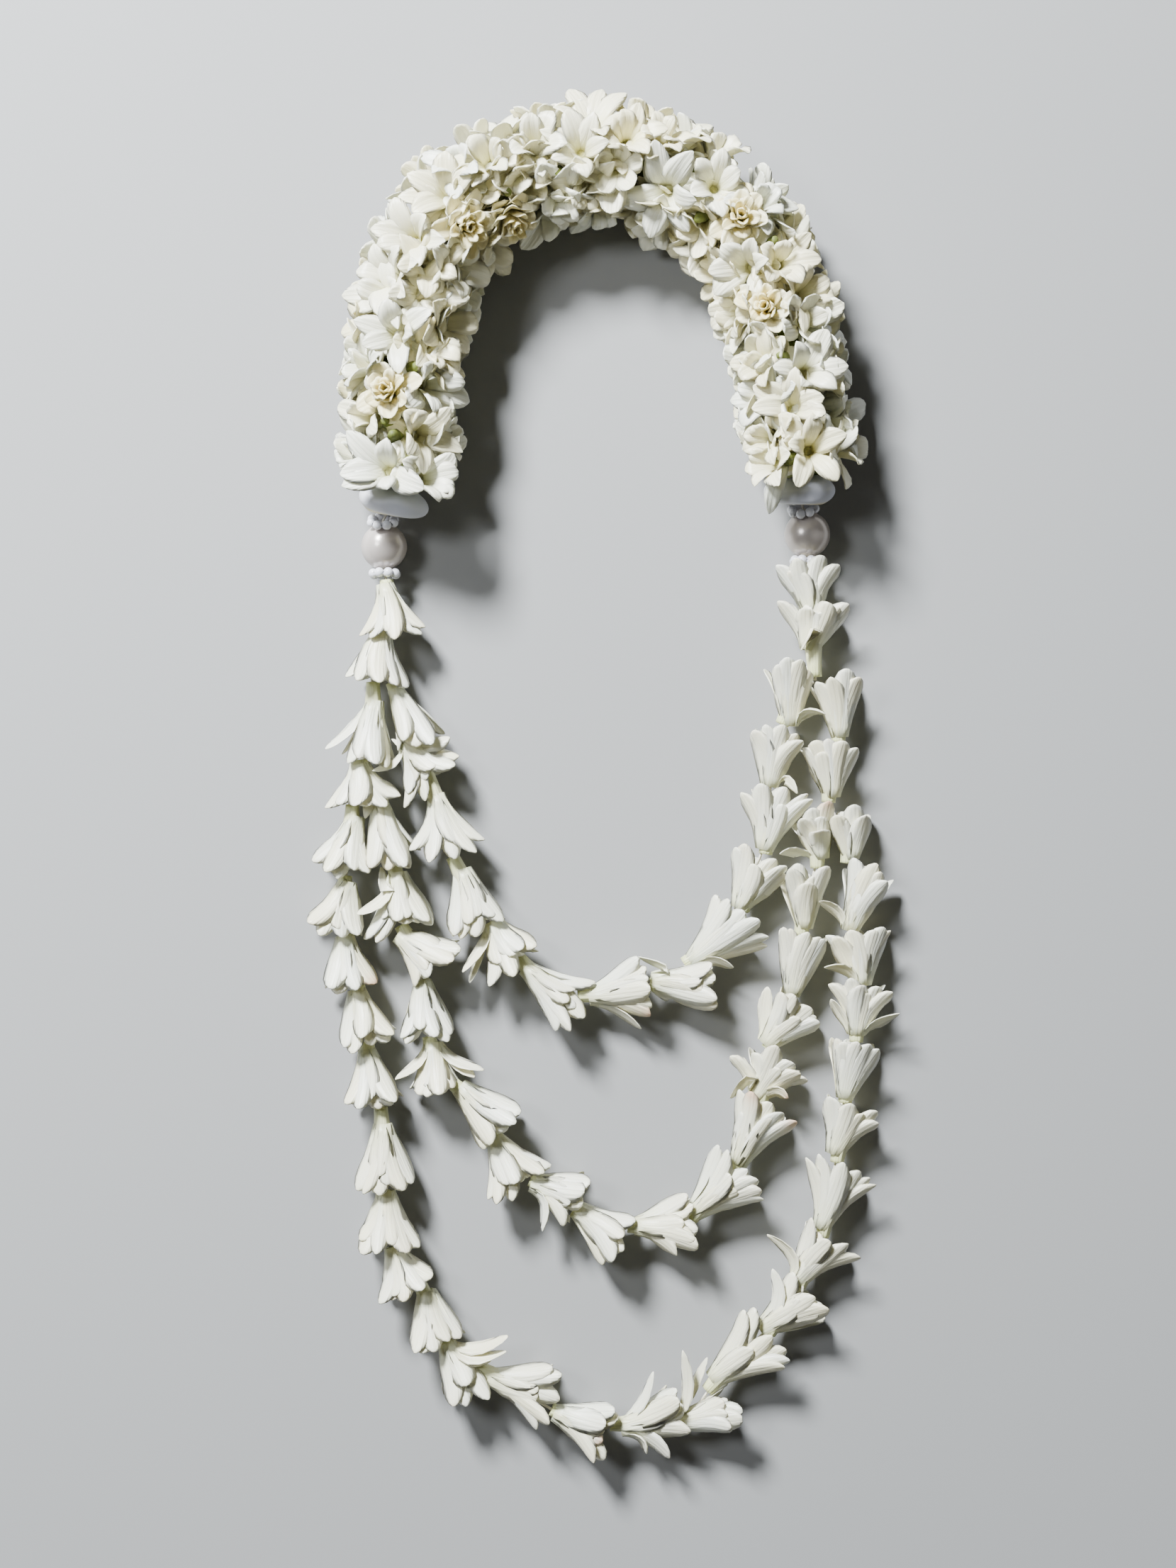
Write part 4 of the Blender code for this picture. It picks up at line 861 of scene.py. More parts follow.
def make_piece(name, parts, materials, slots=None):
    """One object, its origin at the world's, from several arrays of places in mm, quads, triangles,
    flat places in mm and tints. What would sink below the lowest height is pressed flat on it."""
    places, faces, flats, indices, tints = [], [], [], [], {key: [] for key in TINTS}
    start = 0
    for order, (spots, quads, fans, flat, tint) in enumerate(parts):
        places.append(spots)
        faces += (quads + start).tolist() + (fans + start).tolist()
        indices += [slots[order] if slots else 0] * (len(quads) + len(fans))
        flats.append(flat)
        for key in TINTS:
            tints[key].append(tint.get(key, np.zeros(len(spots))))
        start += len(spots)
    places = np.vstack(places)
    low = places[:, 2] < LOWEST
    places[low, 2] = LOWEST + 0.02 * (LOWEST - places[low, 2])
    mesh = bpy.data.meshes.new(name)
    mesh.from_pydata((places * MM).tolist(), [], faces)
    corners = np.empty(len(mesh.loops), dtype=np.int32)
    mesh.loops.foreach_get("vertex_index", corners)
    layer = mesh.uv_layers.new(name="petal_mm")
    layer.data.foreach_set("uv", (np.vstack(flats)[corners] * MM).astype(np.float32).ravel())
    for key, arrays in tints.items():
        attribute = mesh.attributes.new(key, "FLOAT", "POINT")
        attribute.data.foreach_set("value", np.concatenate(arrays).astype(np.float32))
    mesh.polygons.foreach_set("use_smooth", np.ones(len(mesh.polygons), dtype=bool))
    mesh.polygons.foreach_set("material_index", np.array(indices, dtype=np.int32))
    for material in materials:
        mesh.materials.append(material)
    mesh.validate()
    mesh.update()
    piece = bpy.data.objects.new(name, mesh)
    bpy.context.scene.collection.objects.link(piece)
    return piece


def rest(piece, nodes):
    """The finished piece stands for its CAD nodes and rides with the lei."""
    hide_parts(*nodes)
    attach(piece, "root")


def node(tree, kind, sockets=None, **options):
    """Adds a node to a tree with its options set, and gives each of its sockets, by name or number,
    a value or a link from another node's socket."""
    made = tree.nodes.new(kind)
    for name, value in options.items():
        setattr(made, name, value)
    for name, value in (sockets or {}).items():
        if isinstance(value, bpy.types.NodeSocket):
            tree.links.new(value, made.inputs[name])
        else:
            made.inputs[name].default_value = value
    return made


def new_material(name):
    """A material with an empty node tree, and that tree."""
    material = bpy.data.materials.new(name)
    material.use_nodes = True
    material.node_tree.nodes.clear()
    return material, material.node_tree


def finish_material(material, shader):
    """The material, its shader joined to the output."""
    node(material.node_tree, "ShaderNodeOutputMaterial", {"Surface": shader.outputs["BSDF"]})
    return material


def petal_material():
    """Tuberose petal: waxy, pale and slightly see-through, with fine lengthwise veins.

    The tints mix in by attribute: cream over white, yellow-green at the foot, a yellow-brown
    deep in the throat that is partly its own tint and partly painted shade in the recess, and
    beige on a bruised tip. The eye reads wax from the broad soft highlight and from the light
    that spreads inside the petal.
    """
    colours = settings()[1]
    material, tree = new_material("tuberose_petal")
    colour = (*colours.petal, 1.0)
    # The throat colour mixes in partly as the throat's own yellow, partly as painted shade deep in the bloom
    for name, tint in (("cream", colours.cream), ("green", colours.green), ("amber", colours.throat),
                       ("blush", colours.blush)):
        share = node(tree, "ShaderNodeAttribute", attribute_name=name)
        mix = node(tree, "ShaderNodeMix", {MIX_SHARE: share.outputs["Fac"], MIX_FIRST: colour,
                                           MIX_SECOND: (*tint, 1.0)}, data_type="RGBA")
        colour = mix.outputs[MIX_RESULT]
    spot = node(tree, "ShaderNodeUVMap", uv_map="petal_mm")
    veins = node(tree, "ShaderNodeMapping", {"Vector": spot.outputs["UV"], "Scale": (1.0, 0.07, 1.0)})
    streaks = node(tree, "ShaderNodeTexNoise", {"Vector": veins.outputs["Vector"], "Scale": VEIN_SCALE,
                                                "Detail": 2.0, "Roughness": 0.5})
    grain = node(tree, "ShaderNodeTexNoise", {"Vector": spot.outputs["UV"], "Scale": GRAIN_SCALE,
                                              "Detail": 1.0})
    rough = node(tree, "ShaderNodeBump", {"Height": grain.outputs["Fac"], "Strength": 0.12,
                                          "Distance": 0.0001})
    bump = node(tree, "ShaderNodeBump", {"Height": streaks.outputs["Fac"], "Normal": rough.outputs["Normal"],
                                         "Strength": 0.85, "Distance": 0.0008})
    return finish_material(material, node(tree, "ShaderNodeBsdfPrincipled", {
        "Base Color": colour, "Normal": bump.outputs["Normal"], "Roughness": 0.44, "IOR": 1.42,
        "Subsurface Weight": 0.15, "Subsurface Radius": (1.0, 0.95, 0.65), "Subsurface Scale": 0.0014,
        "Sheen Weight": 0.05, "Coat Weight": 0.22, "Coat Roughness": 0.3}))


def calyx_material():
    """Green stalks and shaded tubes between the blooms: dull, with darker blotches a few mm wide."""
    colours = settings()[1]
    material, tree = new_material("calyx_green")
    spot = node(tree, "ShaderNodeTexCoord")
    blotch = node(tree, "ShaderNodeTexNoise", {"Vector": spot.outputs["Object"], "Scale": BLOTCH_SCALE,
                                               "Detail": 3.0})
    ramp = node(tree, "ShaderNodeValToRGB", {"Fac": blotch.outputs["Fac"]})
    for stop, place, strength in zip(ramp.color_ramp.elements, (0.36, 0.64), (BLOTCH_SHADE, 1.0)):
        stop.position = place
        stop.color = (*(level * strength for level in colours.calyx), 1.0)
    return finish_material(material, node(tree, "ShaderNodeBsdfPrincipled", {
        "Base Color": ramp.outputs["Color"], "Roughness": 0.6, "IOR": 1.4}))


def cap_material():
    """A cap's petal: thinner and cooler than the rest, satin, with faint lengthwise grooves. Its lip
    and left side mix towards cream: partly the petal's own cream edge, partly painted light on
    the side towards the lamps.
    """
    colours = settings()[1]
    material, tree = new_material("cap_petal_satin")
    lip_cream_and_painted_light = node(tree, "ShaderNodeAttribute", attribute_name="cream")
    mix = node(tree, "ShaderNodeMix", {MIX_SHARE: lip_cream_and_painted_light.outputs["Fac"], MIX_FIRST: (*colours.cap, 1.0),
                                       MIX_SECOND: (*colours.cream, 1.0)}, data_type="RGBA")
    spot = node(tree, "ShaderNodeUVMap", uv_map="petal_mm")
    stretch = node(tree, "ShaderNodeMapping", {"Vector": spot.outputs["UV"], "Scale": (1.0, 0.12, 1.0)})
    streaks = node(tree, "ShaderNodeTexNoise", {"Vector": stretch.outputs["Vector"], "Scale": CAP_VEIN_SCALE,
                                                "Detail": 2.0})
    bump = node(tree, "ShaderNodeBump", {"Height": streaks.outputs["Fac"], "Strength": 0.25,
                                         "Distance": 0.0003})
    return finish_material(material, node(tree, "ShaderNodeBsdfPrincipled", {
        "Base Color": mix.outputs[MIX_RESULT], "Normal": bump.outputs["Normal"], "Roughness": 0.46,
        "IOR": 1.4, "Subsurface Weight": 0.15, "Subsurface Radius": (1.0, 0.95, 0.9),
        "Subsurface Scale": 0.001, "Sheen Weight": 0.15, "Coat Weight": 0.05, "Coat Roughness": 0.4}))


def pearl_material():
    """Nacre: a sharp highlight over a soft, partly metallic glow, and clouds of warmer tone."""
    colours = settings()[1]
    material, tree = new_material("pearl_nacre")
    spot = node(tree, "ShaderNodeTexCoord")
    cloud = node(tree, "ShaderNodeTexNoise", {"Vector": spot.outputs["Object"], "Scale": NACRE_SCALE,
                                              "Detail": 1.0})
    mix = node(tree, "ShaderNodeMix", {MIX_SHARE: cloud.outputs["Fac"], MIX_FIRST: (*colours.pearl, 1.0),
                                       MIX_SECOND: (*colours.pearl_cloud, 1.0)}, data_type="RGBA")
    return finish_material(material, node(tree, "ShaderNodeBsdfPrincipled", {
        "Base Color": mix.outputs[MIX_RESULT], "Metallic": 0.34, "Roughness": 0.3, "Coat Weight": 0.35,
        "Coat Roughness": 0.16, "Coat IOR": 1.4}))


def bead_material():
    """Milky glass: a little light passes through, and each bead holds a small bright spot."""
    material, tree = new_material("bead_milky_glass")
    return finish_material(material, node(tree, "ShaderNodeBsdfPrincipled", {
        "Base Color": (*settings()[1].bead, 1.0), "Roughness": 0.16, "IOR": 1.5, "Transmission Weight": 0.1,
        "Subsurface Weight": 0.3, "Subsurface Radius": (1.0, 1.0, 1.0), "Subsurface Scale": 0.001}))


def thread_material():
    """Twisted cotton: dull, with the slant of its plies."""
    material, tree = new_material("thread_cotton")
    spot = node(tree, "ShaderNodeTexCoord")
    plies = node(tree, "ShaderNodeTexWave", {"Vector": spot.outputs["Object"], "Scale": PLY_SCALE,
                                             "Distortion": 1.5})
    bump = node(tree, "ShaderNodeBump", {"Height": plies.outputs["Fac"], "Strength": 0.4, "Distance": 0.0001})
    return finish_material(material, node(tree, "ShaderNodeBsdfPrincipled", {
        "Base Color": (*settings()[1].thread, 1.0), "Normal": bump.outputs["Normal"], "Roughness": 0.85,
        "IOR": 1.5, "Sheen Weight": 0.3}))


def floor_material():
    """A matt painted board, pale and plain, so that it throws a little light back under the petals."""
    material, tree = new_material("floor_pale")
    return finish_material(material, node(tree, "ShaderNodeBsdfPrincipled", {
        "Base Color": (*settings()[1].floor, 1.0), "Roughness": 0.7, "IOR": 1.45}))


def gaps_filled(angles, count):
    """Angles added in the widest gaps between the given ones until there are count of them."""
    angles = sorted(angle % math.tau for angle in angles)
    added = []
    while len(angles) < count:
        steps = [(after - before) % math.tau or math.tau
                 for before, after in zip(angles, angles[1:] + angles[:1])]
        widest = int(np.argmax(steps))
        if steps[widest] < LEAST_GAP:
            break
        angle = angles[widest] + steps[widest] / 2
        added.append(angle)
        angles = sorted(angles + [angle % math.tau])
    return added


def drawn(rng, ranges):
    """One number drawn from each named range, in the order they are written."""
    return {name: rng.uniform(low, high) for name, (low, high) in ranges.items()}


def bloom_petal(sheaf, throat, facing, radial, reach, rise, width, form, **looks):
    """One petal of a collar bloom: up out of the throat, then over and out, or on upwards in a cup."""
    high = rise * form["swell"]
    line = (BLOOM_ROOT, (1.8 + 0.1 * reach, high * 0.2), (reach * form["bend"], high), (reach, rise))
    looks = {"base": 0.34, "green": 0.3, **drawn(sheaf.rng, BLOOM_LOOKS), **looks}
    sheaf.petal(throat, facing, radial, line, width * sheaf.rng.uniform(0.9, 1.12), **looks)


def traced_petal(spot, throat, facing, form):
    """The way, reach and rise of a petal whose tip a pixel shows, or None where its bloom is seen edge
    on. The shorter a petal looks, the more it stands up."""
    rise = form["rise"]
    for _ in range(2):
        place = on_plane(spot, throat + facing * rise, facing)
        if place is None:
            return None
        flat = place - throat - facing * rise
        reach = float(np.linalg.norm(flat))
        steep = 0.6 * math.sqrt(max(PETAL_LENGTH ** 2 - reach ** 2, 0.0))
        rise = min(max(steep, form["rise"] - 1.0), MOST_RISE)
    return flat / max(reach, 1e-6), min(max(reach, SHORTEST_REACH), LONGEST_REACH), rise


def star_bloom(sheaf, throat, facing, tips, kind, away=None):
    """A single bloom: its traced petals end where the picture shows them, and others fill the gaps.

    Beside an end of the collar, no filling petal points away over the cap.
    """
    rng = sheaf.rng
    form = BLOOM_FORMS[kind]
    cream = rng.uniform(0.0, MOST_CREAM)
    side, up = across_axis(facing, BLOOM_NUDGE)
    angles = []
    for spot in tips:
        traced = traced_petal(spot, throat, facing, form)
        if traced:
            radial, reach, rise = traced
            rise += rng.uniform(*TRACED_STRAY)
            angles.append(math.atan2(radial @ up, radial @ side))
            width = form["width"] * min(1.06, 0.66 + 0.025 * reach)
            bloom_petal(sheaf, throat, facing, radial, reach, rise, width, form, cream=cream)
    if angles:
        fill = gaps_filled(angles, form["count"])
    else:
        start = rng.uniform(0, math.tau)
        fill = [start + math.tau * step / form["count"] for step in range(form["count"])]
    for angle in fill:
        radial = spoke(side, up, angle)
        if away is None or radial @ away <= MOST_AWAY:
            bloom_petal(sheaf, throat, facing, radial, form["reach"] * rng.uniform(*FILL_REACH),
                        form["rise"] - rng.uniform(*FILL_SINK), form["width"] * rng.uniform(*FILL_WIDTH),
                        form, cream=cream)
    start = rng.uniform(0, math.tau)
    for step in range(UNDER_PETALS if kind in ("star", "half") else 0):
        radial = spoke(side, up, start + math.tau * step / UNDER_PETALS + rng.uniform(-0.2, 0.2))
        if away is None or radial @ away <= MOST_AWAY:
            bloom_petal(sheaf, throat - facing * UNDER_DEPTH, facing, radial, rng.uniform(*UNDER_REACH),
                        rng.uniform(*UNDER_RISE), form["width"], form, cream=cream)


def rosette(sheaf, throat, facing):
    """A double bloom: whorls of cupped cream petals, each nested in the one before."""
    rng = sheaf.rng
    side, up = across_axis(facing, BLOOM_NUDGE)
    turn = rng.uniform(0, math.tau)
    for order, (count, reach, rise, width) in enumerate(ROSETTE_WHORLS):
        turn += math.pi / count + 0.2
        for step in range(count):
            radial = spoke(side, up, turn + math.tau * step / count + rng.uniform(-0.3, 0.3))
            far = reach * rng.uniform(0.6, 1.15)
            line = (ROSETTE_ROOT, (far * 0.3, rise * 0.45), (far * 0.78, rise * 1.1),
                    (far, rise * rng.uniform(0.75, 1.05)))
            broad = width * rng.uniform(0.9, 1.1)
            looks = drawn(rng, ROSETTE_LOOKS)
            looks["cream"] += 0.12 * order
            # The roots take a little throat colour: partly their own yellow, partly painted shade
            sheaf.petal(throat, facing, radial, line, broad, amber=0.25, green=0.5, thin=1.1, **looks)


def seen_blooms(route, sheaves):
    """The blooms that the picture shows, each at the place on the collar's side that its throat hides."""
    for spot, kind, *tips in COLLAR_BLOOMS:
        height = COLLAR_AXIS_HEIGHT + THROAT_RADIUS
        for _ in range(4):
            station, offset = route.nearest(at(spot, height))
            lean = math.asin(max(-0.999, min(0.999, offset / THROAT_RADIUS)))
            height = COLLAR_AXIS_HEIGHT + THROAT_RADIUS * math.cos(lean)
        outer = route.outer(station)
        middle = route.place(station)
        lift = max(-1.5, min(1.0, 0.8 * (len(tips) - 4.2))) if tips else -0.8
        throat = middle + spoke(UP, outer, lean) * (THROAT_RADIUS + lift)
        facing = spoke(UP, outer, max(-MOST_LEAN, min(MOST_LEAN, lean)))
        sheaf = sheaves[int(np.searchsorted(COLLAR_JOINTS, station))]
        if kind == "rosette":
            rosette(sheaf, throat, facing)
        else:
            star_bloom(sheaf, throat, facing, tips, kind, route.end_way(station))
        sheaf.tube(middle + (throat - middle) * 0.3, throat - facing * TUBE_DEPTH, 3.4, *TUBE_END)


def hidden_blooms(route, sheaves):
    """Rows of blooms along the sides and underside, every second one a quarter of a pitch further on."""
    for degrees, pitch, kind, inset in HIDDEN_ROWS:
        count = int(route.length // pitch)
        for step in range(count):
            station = (step + 0.5 + 0.25 * (step % 2)) * route.length / count
            sheaf = sheaves[int(np.searchsorted(COLLAR_JOINTS, station))]
            facing = spoke(UP, route.outer(station), math.radians(degrees + sheaf.rng.uniform(-10, 10)))
            middle = route.place(station)
            out = min(THROAT_RADIUS, (COLLAR_AXIS_HEIGHT - ROW_FLOOR) / max(-facing[2], 0.01))
            throat = middle + facing * (out - inset - sheaf.rng.uniform(0, 1.5))
            star_bloom(sheaf, throat, facing, (), kind, route.end_way(station))
            sheaf.tube(middle + facing * 4.0, throat - facing * TUBE_DEPTH, 3.2, *TUBE_END)


def build_collar():
    """The collar's eleven bodies: seen blooms where the picture has them, rows of them elsewhere."""
    seed = settings()[0].seed
    route = Route(COLLAR_ROUTE)
    sheaves = [Sheaf(seed + index) for index in range(len(COLLAR_JOINTS) + 1)]
    stalks = [Sheaf(seed) for _ in sheaves]
    seen_blooms(route, sheaves)
    for spot in CALYX_SPOTS:
        end = at(spot, COLLAR_AXIS_HEIGHT + THROAT_RADIUS)
        station, _ = route.nearest(end)
        start = route.place(station)
        end = start + unit(end - start) * (THROAT_RADIUS + STALK_RISE)
        stalks[int(np.searchsorted(COLLAR_JOINTS, station))].tube((start + end) / 2, end, 2.8, 1.1, 1.0, 1.0)
    root, root_height, tip, tip_height = LOOSE_PETAL
    root, tip = at(root, root_height), at(tip, tip_height)
    flat = (tip - root) * LEVEL
    far = float(np.linalg.norm(flat))
    line = ((0.0, -1.0), (far * 0.3, 2.0), (far * 0.75, 1.0), (far, tip[2] - root[2]))
    sheaves[-1].petal(root, UP, unit(flat), line, 6.4, point=0.9, cup=0.3, sway=1.0, base=0.5, green=0.3)
    hidden_blooms(route, sheaves)
    bounds = (0.0, *COLLAR_JOINTS, route.length)
    petals, calyx = petal_material(), calyx_material()
    for index, sheaf in enumerate(sheaves):
        parts = sheaf.parts() + [core_arrays(route, bounds[index], bounds[index + 1])]
        if stalks[index].tubes:
            parts.append(tube_arrays(stalks[index].tubes))
        piece = make_piece(f"collar_{index + 1:02d}", parts, (petals, calyx), slots=(0, 0, 1, 1))
        rest(piece, [f"collar_blooms_{index + 1:02d}"])


def floret_petal(sheaf, throat, opening, offset, width, turned=0.0, **looks):
    """One petal of a trumpet floret, whose tip lies at an offset from its throat.

    It leaves the tube as a part of its wall and flares. Turned is how far its flat
    side goes from facing the floret's axis towards facing up.
    """
    forward = float(offset @ opening)
    flat = offset - opening * forward
    reach = float(np.linalg.norm(flat))
    line = (FLORET_ROOT, (2.8, max(forward * 0.22, 0.5)), (0.5 * reach + 1.2, max(forward * 0.7, 3.0)),
            (reach, forward))
    looks = {"base": 0.42, "green": 0.32, "thin": 0.8, **drawn(sheaf.rng, FLORET_LOOKS), **looks}
    sheaf.petal(throat, opening, unit(flat), line, width * sheaf.rng.uniform(0.9, 1.12), **looks)
    if turned:
        level = unit(np.cross(UP, unit(offset)))
        petal = sheaf.petals[-1]
        petal["across"] = unit(petal["across"] * (1 - turned) + level * turned)


def floret(sheaf, foot, throat, tips, strays):
    """A trumpet floret: a ribbed tube, traced upper petals, lower ones by rule, and more beneath them."""
    rng = sheaf.rng
    width = settings()[0].floret_petal_width
    base = at(foot, STRAND_HEIGHT)
    neck = at(throat, STRAND_HEIGHT)
    ends = np.array([at(tip, STRAND_HEIGHT + OPENING_RISE) for tip in tips])
    opening = unit((ends.mean(axis=0) - neck) * LEVEL)
    side = np.cross(opening, UP)
    forwards = []
    for tip in tips:
        aside = float((at(tip, STRAND_HEIGHT + ASIDE_RISE) - neck) @ side)
        left = math.sqrt(max(FLORET_SPREAD ** 2 - aside ** 2, LEAST_SPREAD ** 2))
        place = at(tip, STRAND_HEIGHT + TIP_RISE + left * rng.uniform(*TIP_SHARES))
        forwards.append(float((place - neck) @ opening))
        floret_petal(sheaf, neck, opening, place - neck, width, turned=0.42,
                     blush=BRUISED if len(tip) > 2 else MARKED * (rng.random() < MARKED_SHARE))
    forward = float(np.clip(np.mean(forwards), *FORWARD_LIMITS))
    for degrees in LOWER_PETALS:
        radial = spoke(UP, side, math.radians(degrees + rng.uniform(-15, 15)))
        room = (STRAND_HEIGHT - LOWER_GAP) / max(-radial[2], 0.01)
        spread = min(LOWER_SPREAD, room) * rng.uniform(0.92, 1.0)
        offset = radial * spread + opening * forward * rng.uniform(0.85, 1.05)
        floret_petal(sheaf, neck, opening, offset, width)
    for degrees in UPPER_PETALS:
        radial = spoke(UP, side, math.radians(degrees + rng.uniform(-12, 12)))
        offset = radial * rng.uniform(*UPPER_SPREAD) + opening * forward * rng.uniform(0.72, 0.95)
        floret_petal(sheaf, neck, opening, offset, width * rng.uniform(0.85, 1.05),
                     cream=rng.uniform(0.1, 0.4), curl=rng.uniform(0.0, 0.2), turned=0.2)
    for tip in strays:
        place = at(tip, STRAND_HEIGHT + rng.uniform(1.0, 7.0))
        floret_petal(sheaf, neck, opening, place - neck, width * 0.6, curl=0.6, twist=rng.uniform(-0.6, 0.6),
                     sway=rng.uniform(-3, 3), blush=BRUISED if len(tip) > 2 else 0.0, turned=0.5)
    sheaf.tube(base, neck + opening * 1.5, *FLORET_TUBE)


def build_strands():
    """The seven runs of florets, each one piece for its CAD nodes."""
    seed = settings()[0].seed
    petals = petal_material()
    runs = (
        ("left_lead", LEFT_LEAD, "left_lead_florets", 1),
        ("left_shared", LEFT_SHARED, "left_shared_florets", 1),
        ("outer_strand", OUTER_STRAND, "outer_florets", 12),
        ("middle_strand", MIDDLE_STRAND, "middle_florets", 8),
        ("inner_strand", INNER_STRAND, "inner_florets", 6),
        ("right_shared", RIGHT_SHARED, "right_shared_florets", 1),
        ("right_lead", RIGHT_LEAD, "right_lead_florets", 1),
    )
    for order, (name, florets, stem, count) in enumerate(runs):
        sheaf = Sheaf(seed + STRAND_SEED + order)
        for foot, throat, tips, *strays in florets:
            floret(sheaf, foot, throat, tips, strays)
        nodes = [f"{stem}_{number:02d}" for number in range(1, count + 1)]
        rest(make_piece(name, sheaf.parts(), (petals,)), nodes)


def build_pearls():
    """The two pearls, bored along the thread."""
    nacre = pearl_material()
    for name, (centre, axis) in PEARLS.items():
        part = sphere_arrays(np.array(centre), unit(axis), settings()[0].pearl_across / 2, PEARL_BORE, 64, 40)
        rest(make_piece(name + "_nacre", [part], (nacre,)), [name])


def build_bead_rings():
    """The four rings of small beads, each bead bored along the ring."""
    sizes = settings()[0]
    glass = bead_material()
    for name, (centre, axis) in BEAD_RINGS.items():
        axis = unit(axis)
        side, rise = across_axis(axis)
        parts = []
        for step in range(sizes.beads_in_ring):
            out = spoke(side, rise, math.tau * (step + 0.5) / sizes.beads_in_ring)
            parts.append(sphere_arrays(np.array(centre) + out * BEAD_RING_RADIUS, np.cross(axis, out),
                                       sizes.bead_across / 2, BEAD_BORE, 20, 12))
        rest(make_piece(name + "_glass", parts, (glass,)), [name])


def build_caps():
    """The folded petal that closes each end of the collar."""
    route = Route(COLLAR_ROUTE)
    satin = cap_material()
    for hand, station, turn in (("left", 0.0, 0.6), ("right", route.length, 2.2)):
        outward = route.heading(station) * (-1 if hand == "left" else 1)
        closed_end = route.place(station) + outward * 1.8 - UP * 0.7
        toward = unit(np.array(BEAD_RINGS[f"{hand}_upper_beads"][0]) - closed_end)
        mouth = closed_end + unit(toward * 0.8 + outward * 0.4) * CAP_DEPTH
        part = cap_arrays(closed_end, mouth, settings()[0].cap_radius, turn)
        rest(make_piece(f"{hand}_folded_cap", [part], (satin,)), [f"{hand}_cap"])


def build_threads():
    """The four threads keep their CAD form and get their cotton."""
    cotton = thread_material()
    for name in ("thread_collar", "thread_outer", "thread_middle", "thread_inner"):
        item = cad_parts[name]
        item.data.materials.clear()
        item.data.materials.append(cotton)


def build_stage():
    """A pale floor, a soft lamp beyond the crown, a weak one at its left, and the camera overhead."""
    scene = bpy.context.scene
    bpy.ops.mesh.primitive_plane_add(size=FLOOR_ACROSS, location=(0.0, -0.2, 0.0))
    floor = bpy.context.object
    floor.name = "floor"
    floor.data.materials.append(floor_material())
    for name, place, size, watts in LAMPS:
        lamp = bpy.data.lights.new(name, "AREA")
        lamp.shape = "DISK"
        lamp.size = size
        lamp.energy = watts
        lamp.color = linear(DAYLIGHT)
        holder = bpy.data.objects.new(name, lamp)
        holder.location = place
        holder.rotation_euler = (Vector(LAMP_AIM) - Vector(place)).to_track_quat("-Z", "Y").to_euler()
        scene.collection.objects.link(holder)
    world = bpy.data.worlds.new("studio")
    world.use_nodes = True
    background = world.node_tree.nodes["Background"].inputs
    background["Color"].default_value = (1.0, 1.0, 1.0, 1.0)
    background["Strength"].default_value = SKY_STRENGTH
    scene.world = world
    lens = bpy.data.cameras.new("overhead")
    lens.lens = CAMERA_LENS
    lens.sensor_width = 36.0
    lens.sensor_fit = "AUTO"
    lens.dof.use_dof = False
    camera = bpy.data.objects.new("overhead", lens)
    camera.location = np.array(CAMERA_PLACE) * MM
    scene.collection.objects.link(camera)
    scene.camera = camera


class LeiStage(bpy.types.Operator):
    """Lays the floor, hangs the lamps and sets the camera overhead."""

    bl_idname = "lei.stage"
    bl_label = "Stage"

    def execute(self, context):
        build_stage()
        return {"FINISHED"}


class LeiCollar(bpy.types.Operator):
    """Builds the collar's blooms, petal by petal."""

    bl_idname = "lei.collar"
    bl_label = "Collar blooms"

    def execute(self, context):
        build_collar()
        return {"FINISHED"}


class LeiStrands(bpy.types.Operator):
    """Builds the trumpet florets of the strands."""

    bl_idname = "lei.strands"
    bl_label = "Strands of florets"

    def execute(self, context):
        build_strands()
        return {"FINISHED"}


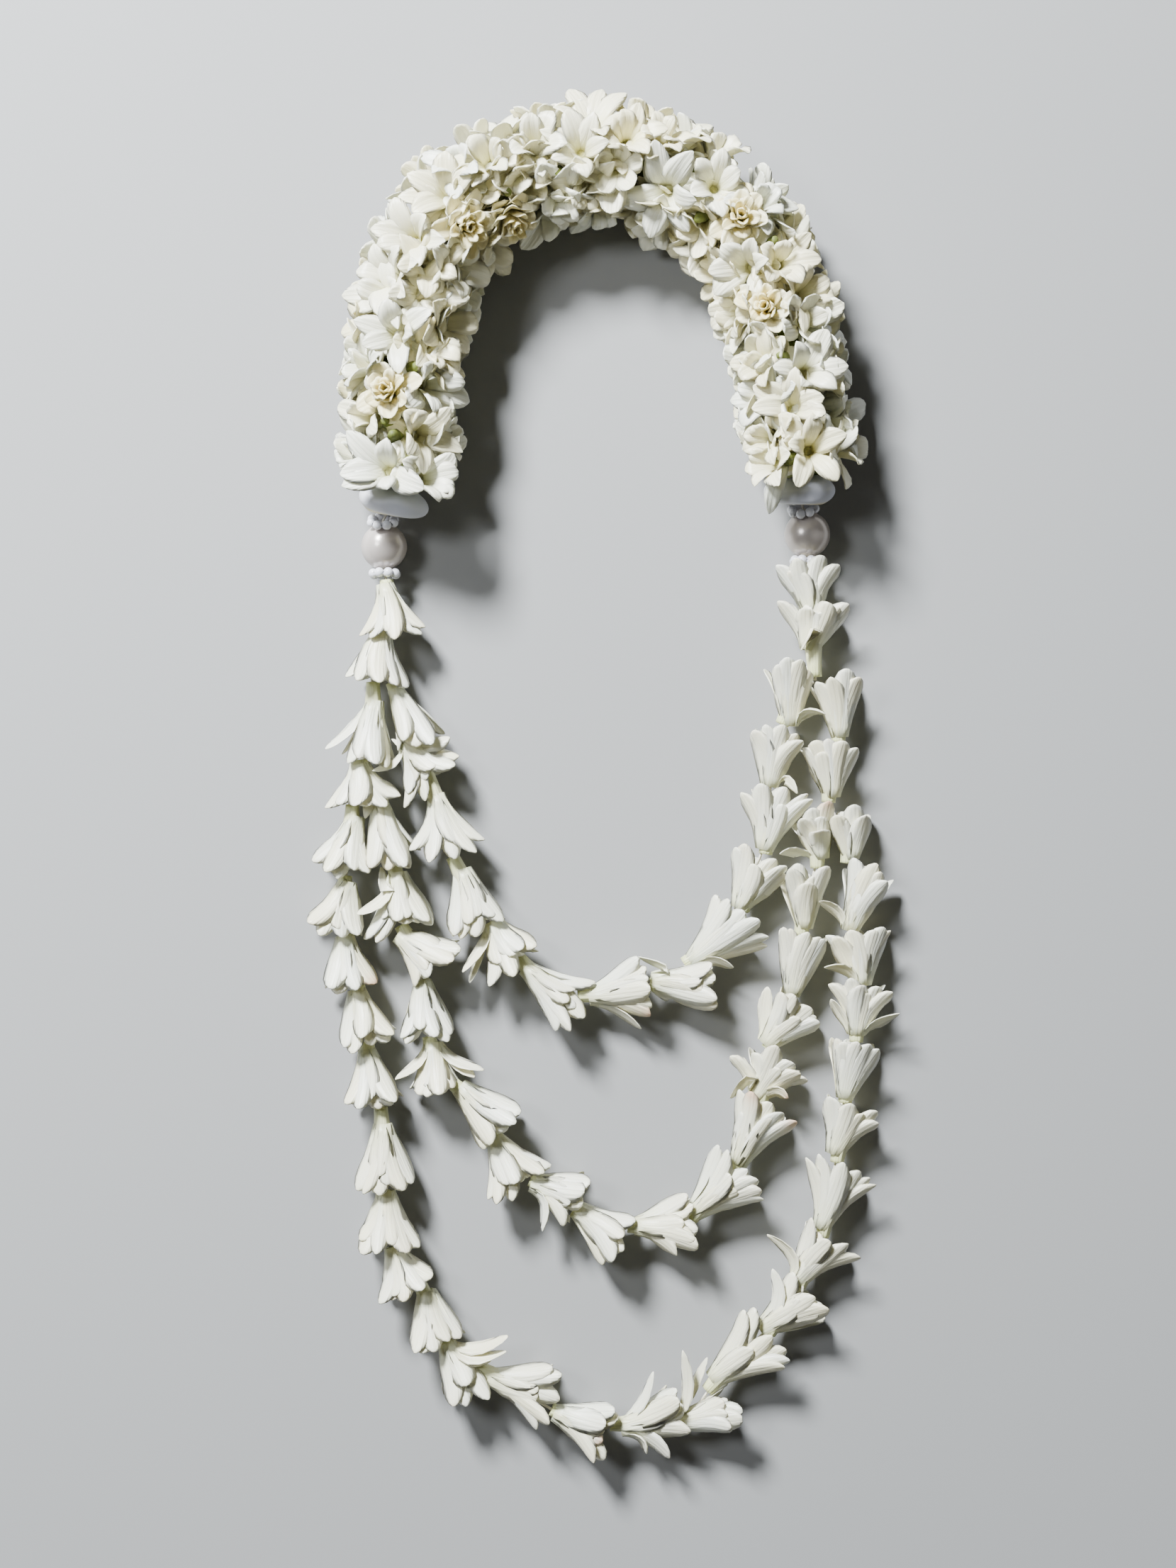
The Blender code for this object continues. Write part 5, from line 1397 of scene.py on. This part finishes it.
class LeiCaps(bpy.types.Operator):
    """Builds the folded petal at each end of the collar."""

    bl_idname = "lei.caps"
    bl_label = "Folded caps"

    def execute(self, context):
        build_caps()
        return {"FINISHED"}


class LeiBeads(bpy.types.Operator):
    """Builds the four rings of small beads."""

    bl_idname = "lei.bead_rings"
    bl_label = "Bead rings"

    def execute(self, context):
        build_bead_rings()
        return {"FINISHED"}


class LeiPearls(bpy.types.Operator):
    """Builds the two pearls."""

    bl_idname = "lei.pearls"
    bl_label = "Pearls"

    def execute(self, context):
        build_pearls()
        return {"FINISHED"}


class LeiThreads(bpy.types.Operator):
    """Gives the threads their cotton."""

    bl_idname = "lei.threads"
    bl_label = "Threads"

    def execute(self, context):
        build_threads()
        return {"FINISHED"}


OPERATORS = (LeiStage, LeiCollar, LeiStrands, LeiCaps, LeiBeads, LeiPearls, LeiThreads)


class LeiPanel(bpy.types.Panel):
    """Sizes, colours and the steps that build the lei."""

    bl_idname = "VIEW3D_PT_lei"
    bl_label = "Tuberose lei"
    bl_space_type = "VIEW_3D"
    bl_region_type = "UI"
    bl_category = "Lei"

    def draw(self, context):
        for group in (context.scene.lei_sizes, context.scene.lei_colours):
            box = self.layout.box()
            for name in group.__annotations__:
                box.prop(group, name)
        for operator in OPERATORS:
            self.layout.operator(operator.bl_idname)


CLASSES = (LeiSizes, LeiColours, *OPERATORS, LeiPanel)


def register():
    """Adds the settings, the operators and the panel."""
    for item in CLASSES:
        bpy.utils.register_class(item)
    bpy.types.Scene.lei_sizes = PointerProperty(type=LeiSizes)
    bpy.types.Scene.lei_colours = PointerProperty(type=LeiColours)


def unregister():
    """Takes them out again."""
    del bpy.types.Scene.lei_colours
    del bpy.types.Scene.lei_sizes
    for item in reversed(CLASSES):
        bpy.utils.unregister_class(item)


def main():
    """Builds the whole scene."""
    register()
    bpy.ops.lei.stage()
    bpy.ops.lei.collar()
    bpy.ops.lei.strands()
    bpy.ops.lei.caps()
    bpy.ops.lei.bead_rings()
    bpy.ops.lei.pearls()
    bpy.ops.lei.threads()


if __name__ == "__main__":
    main()
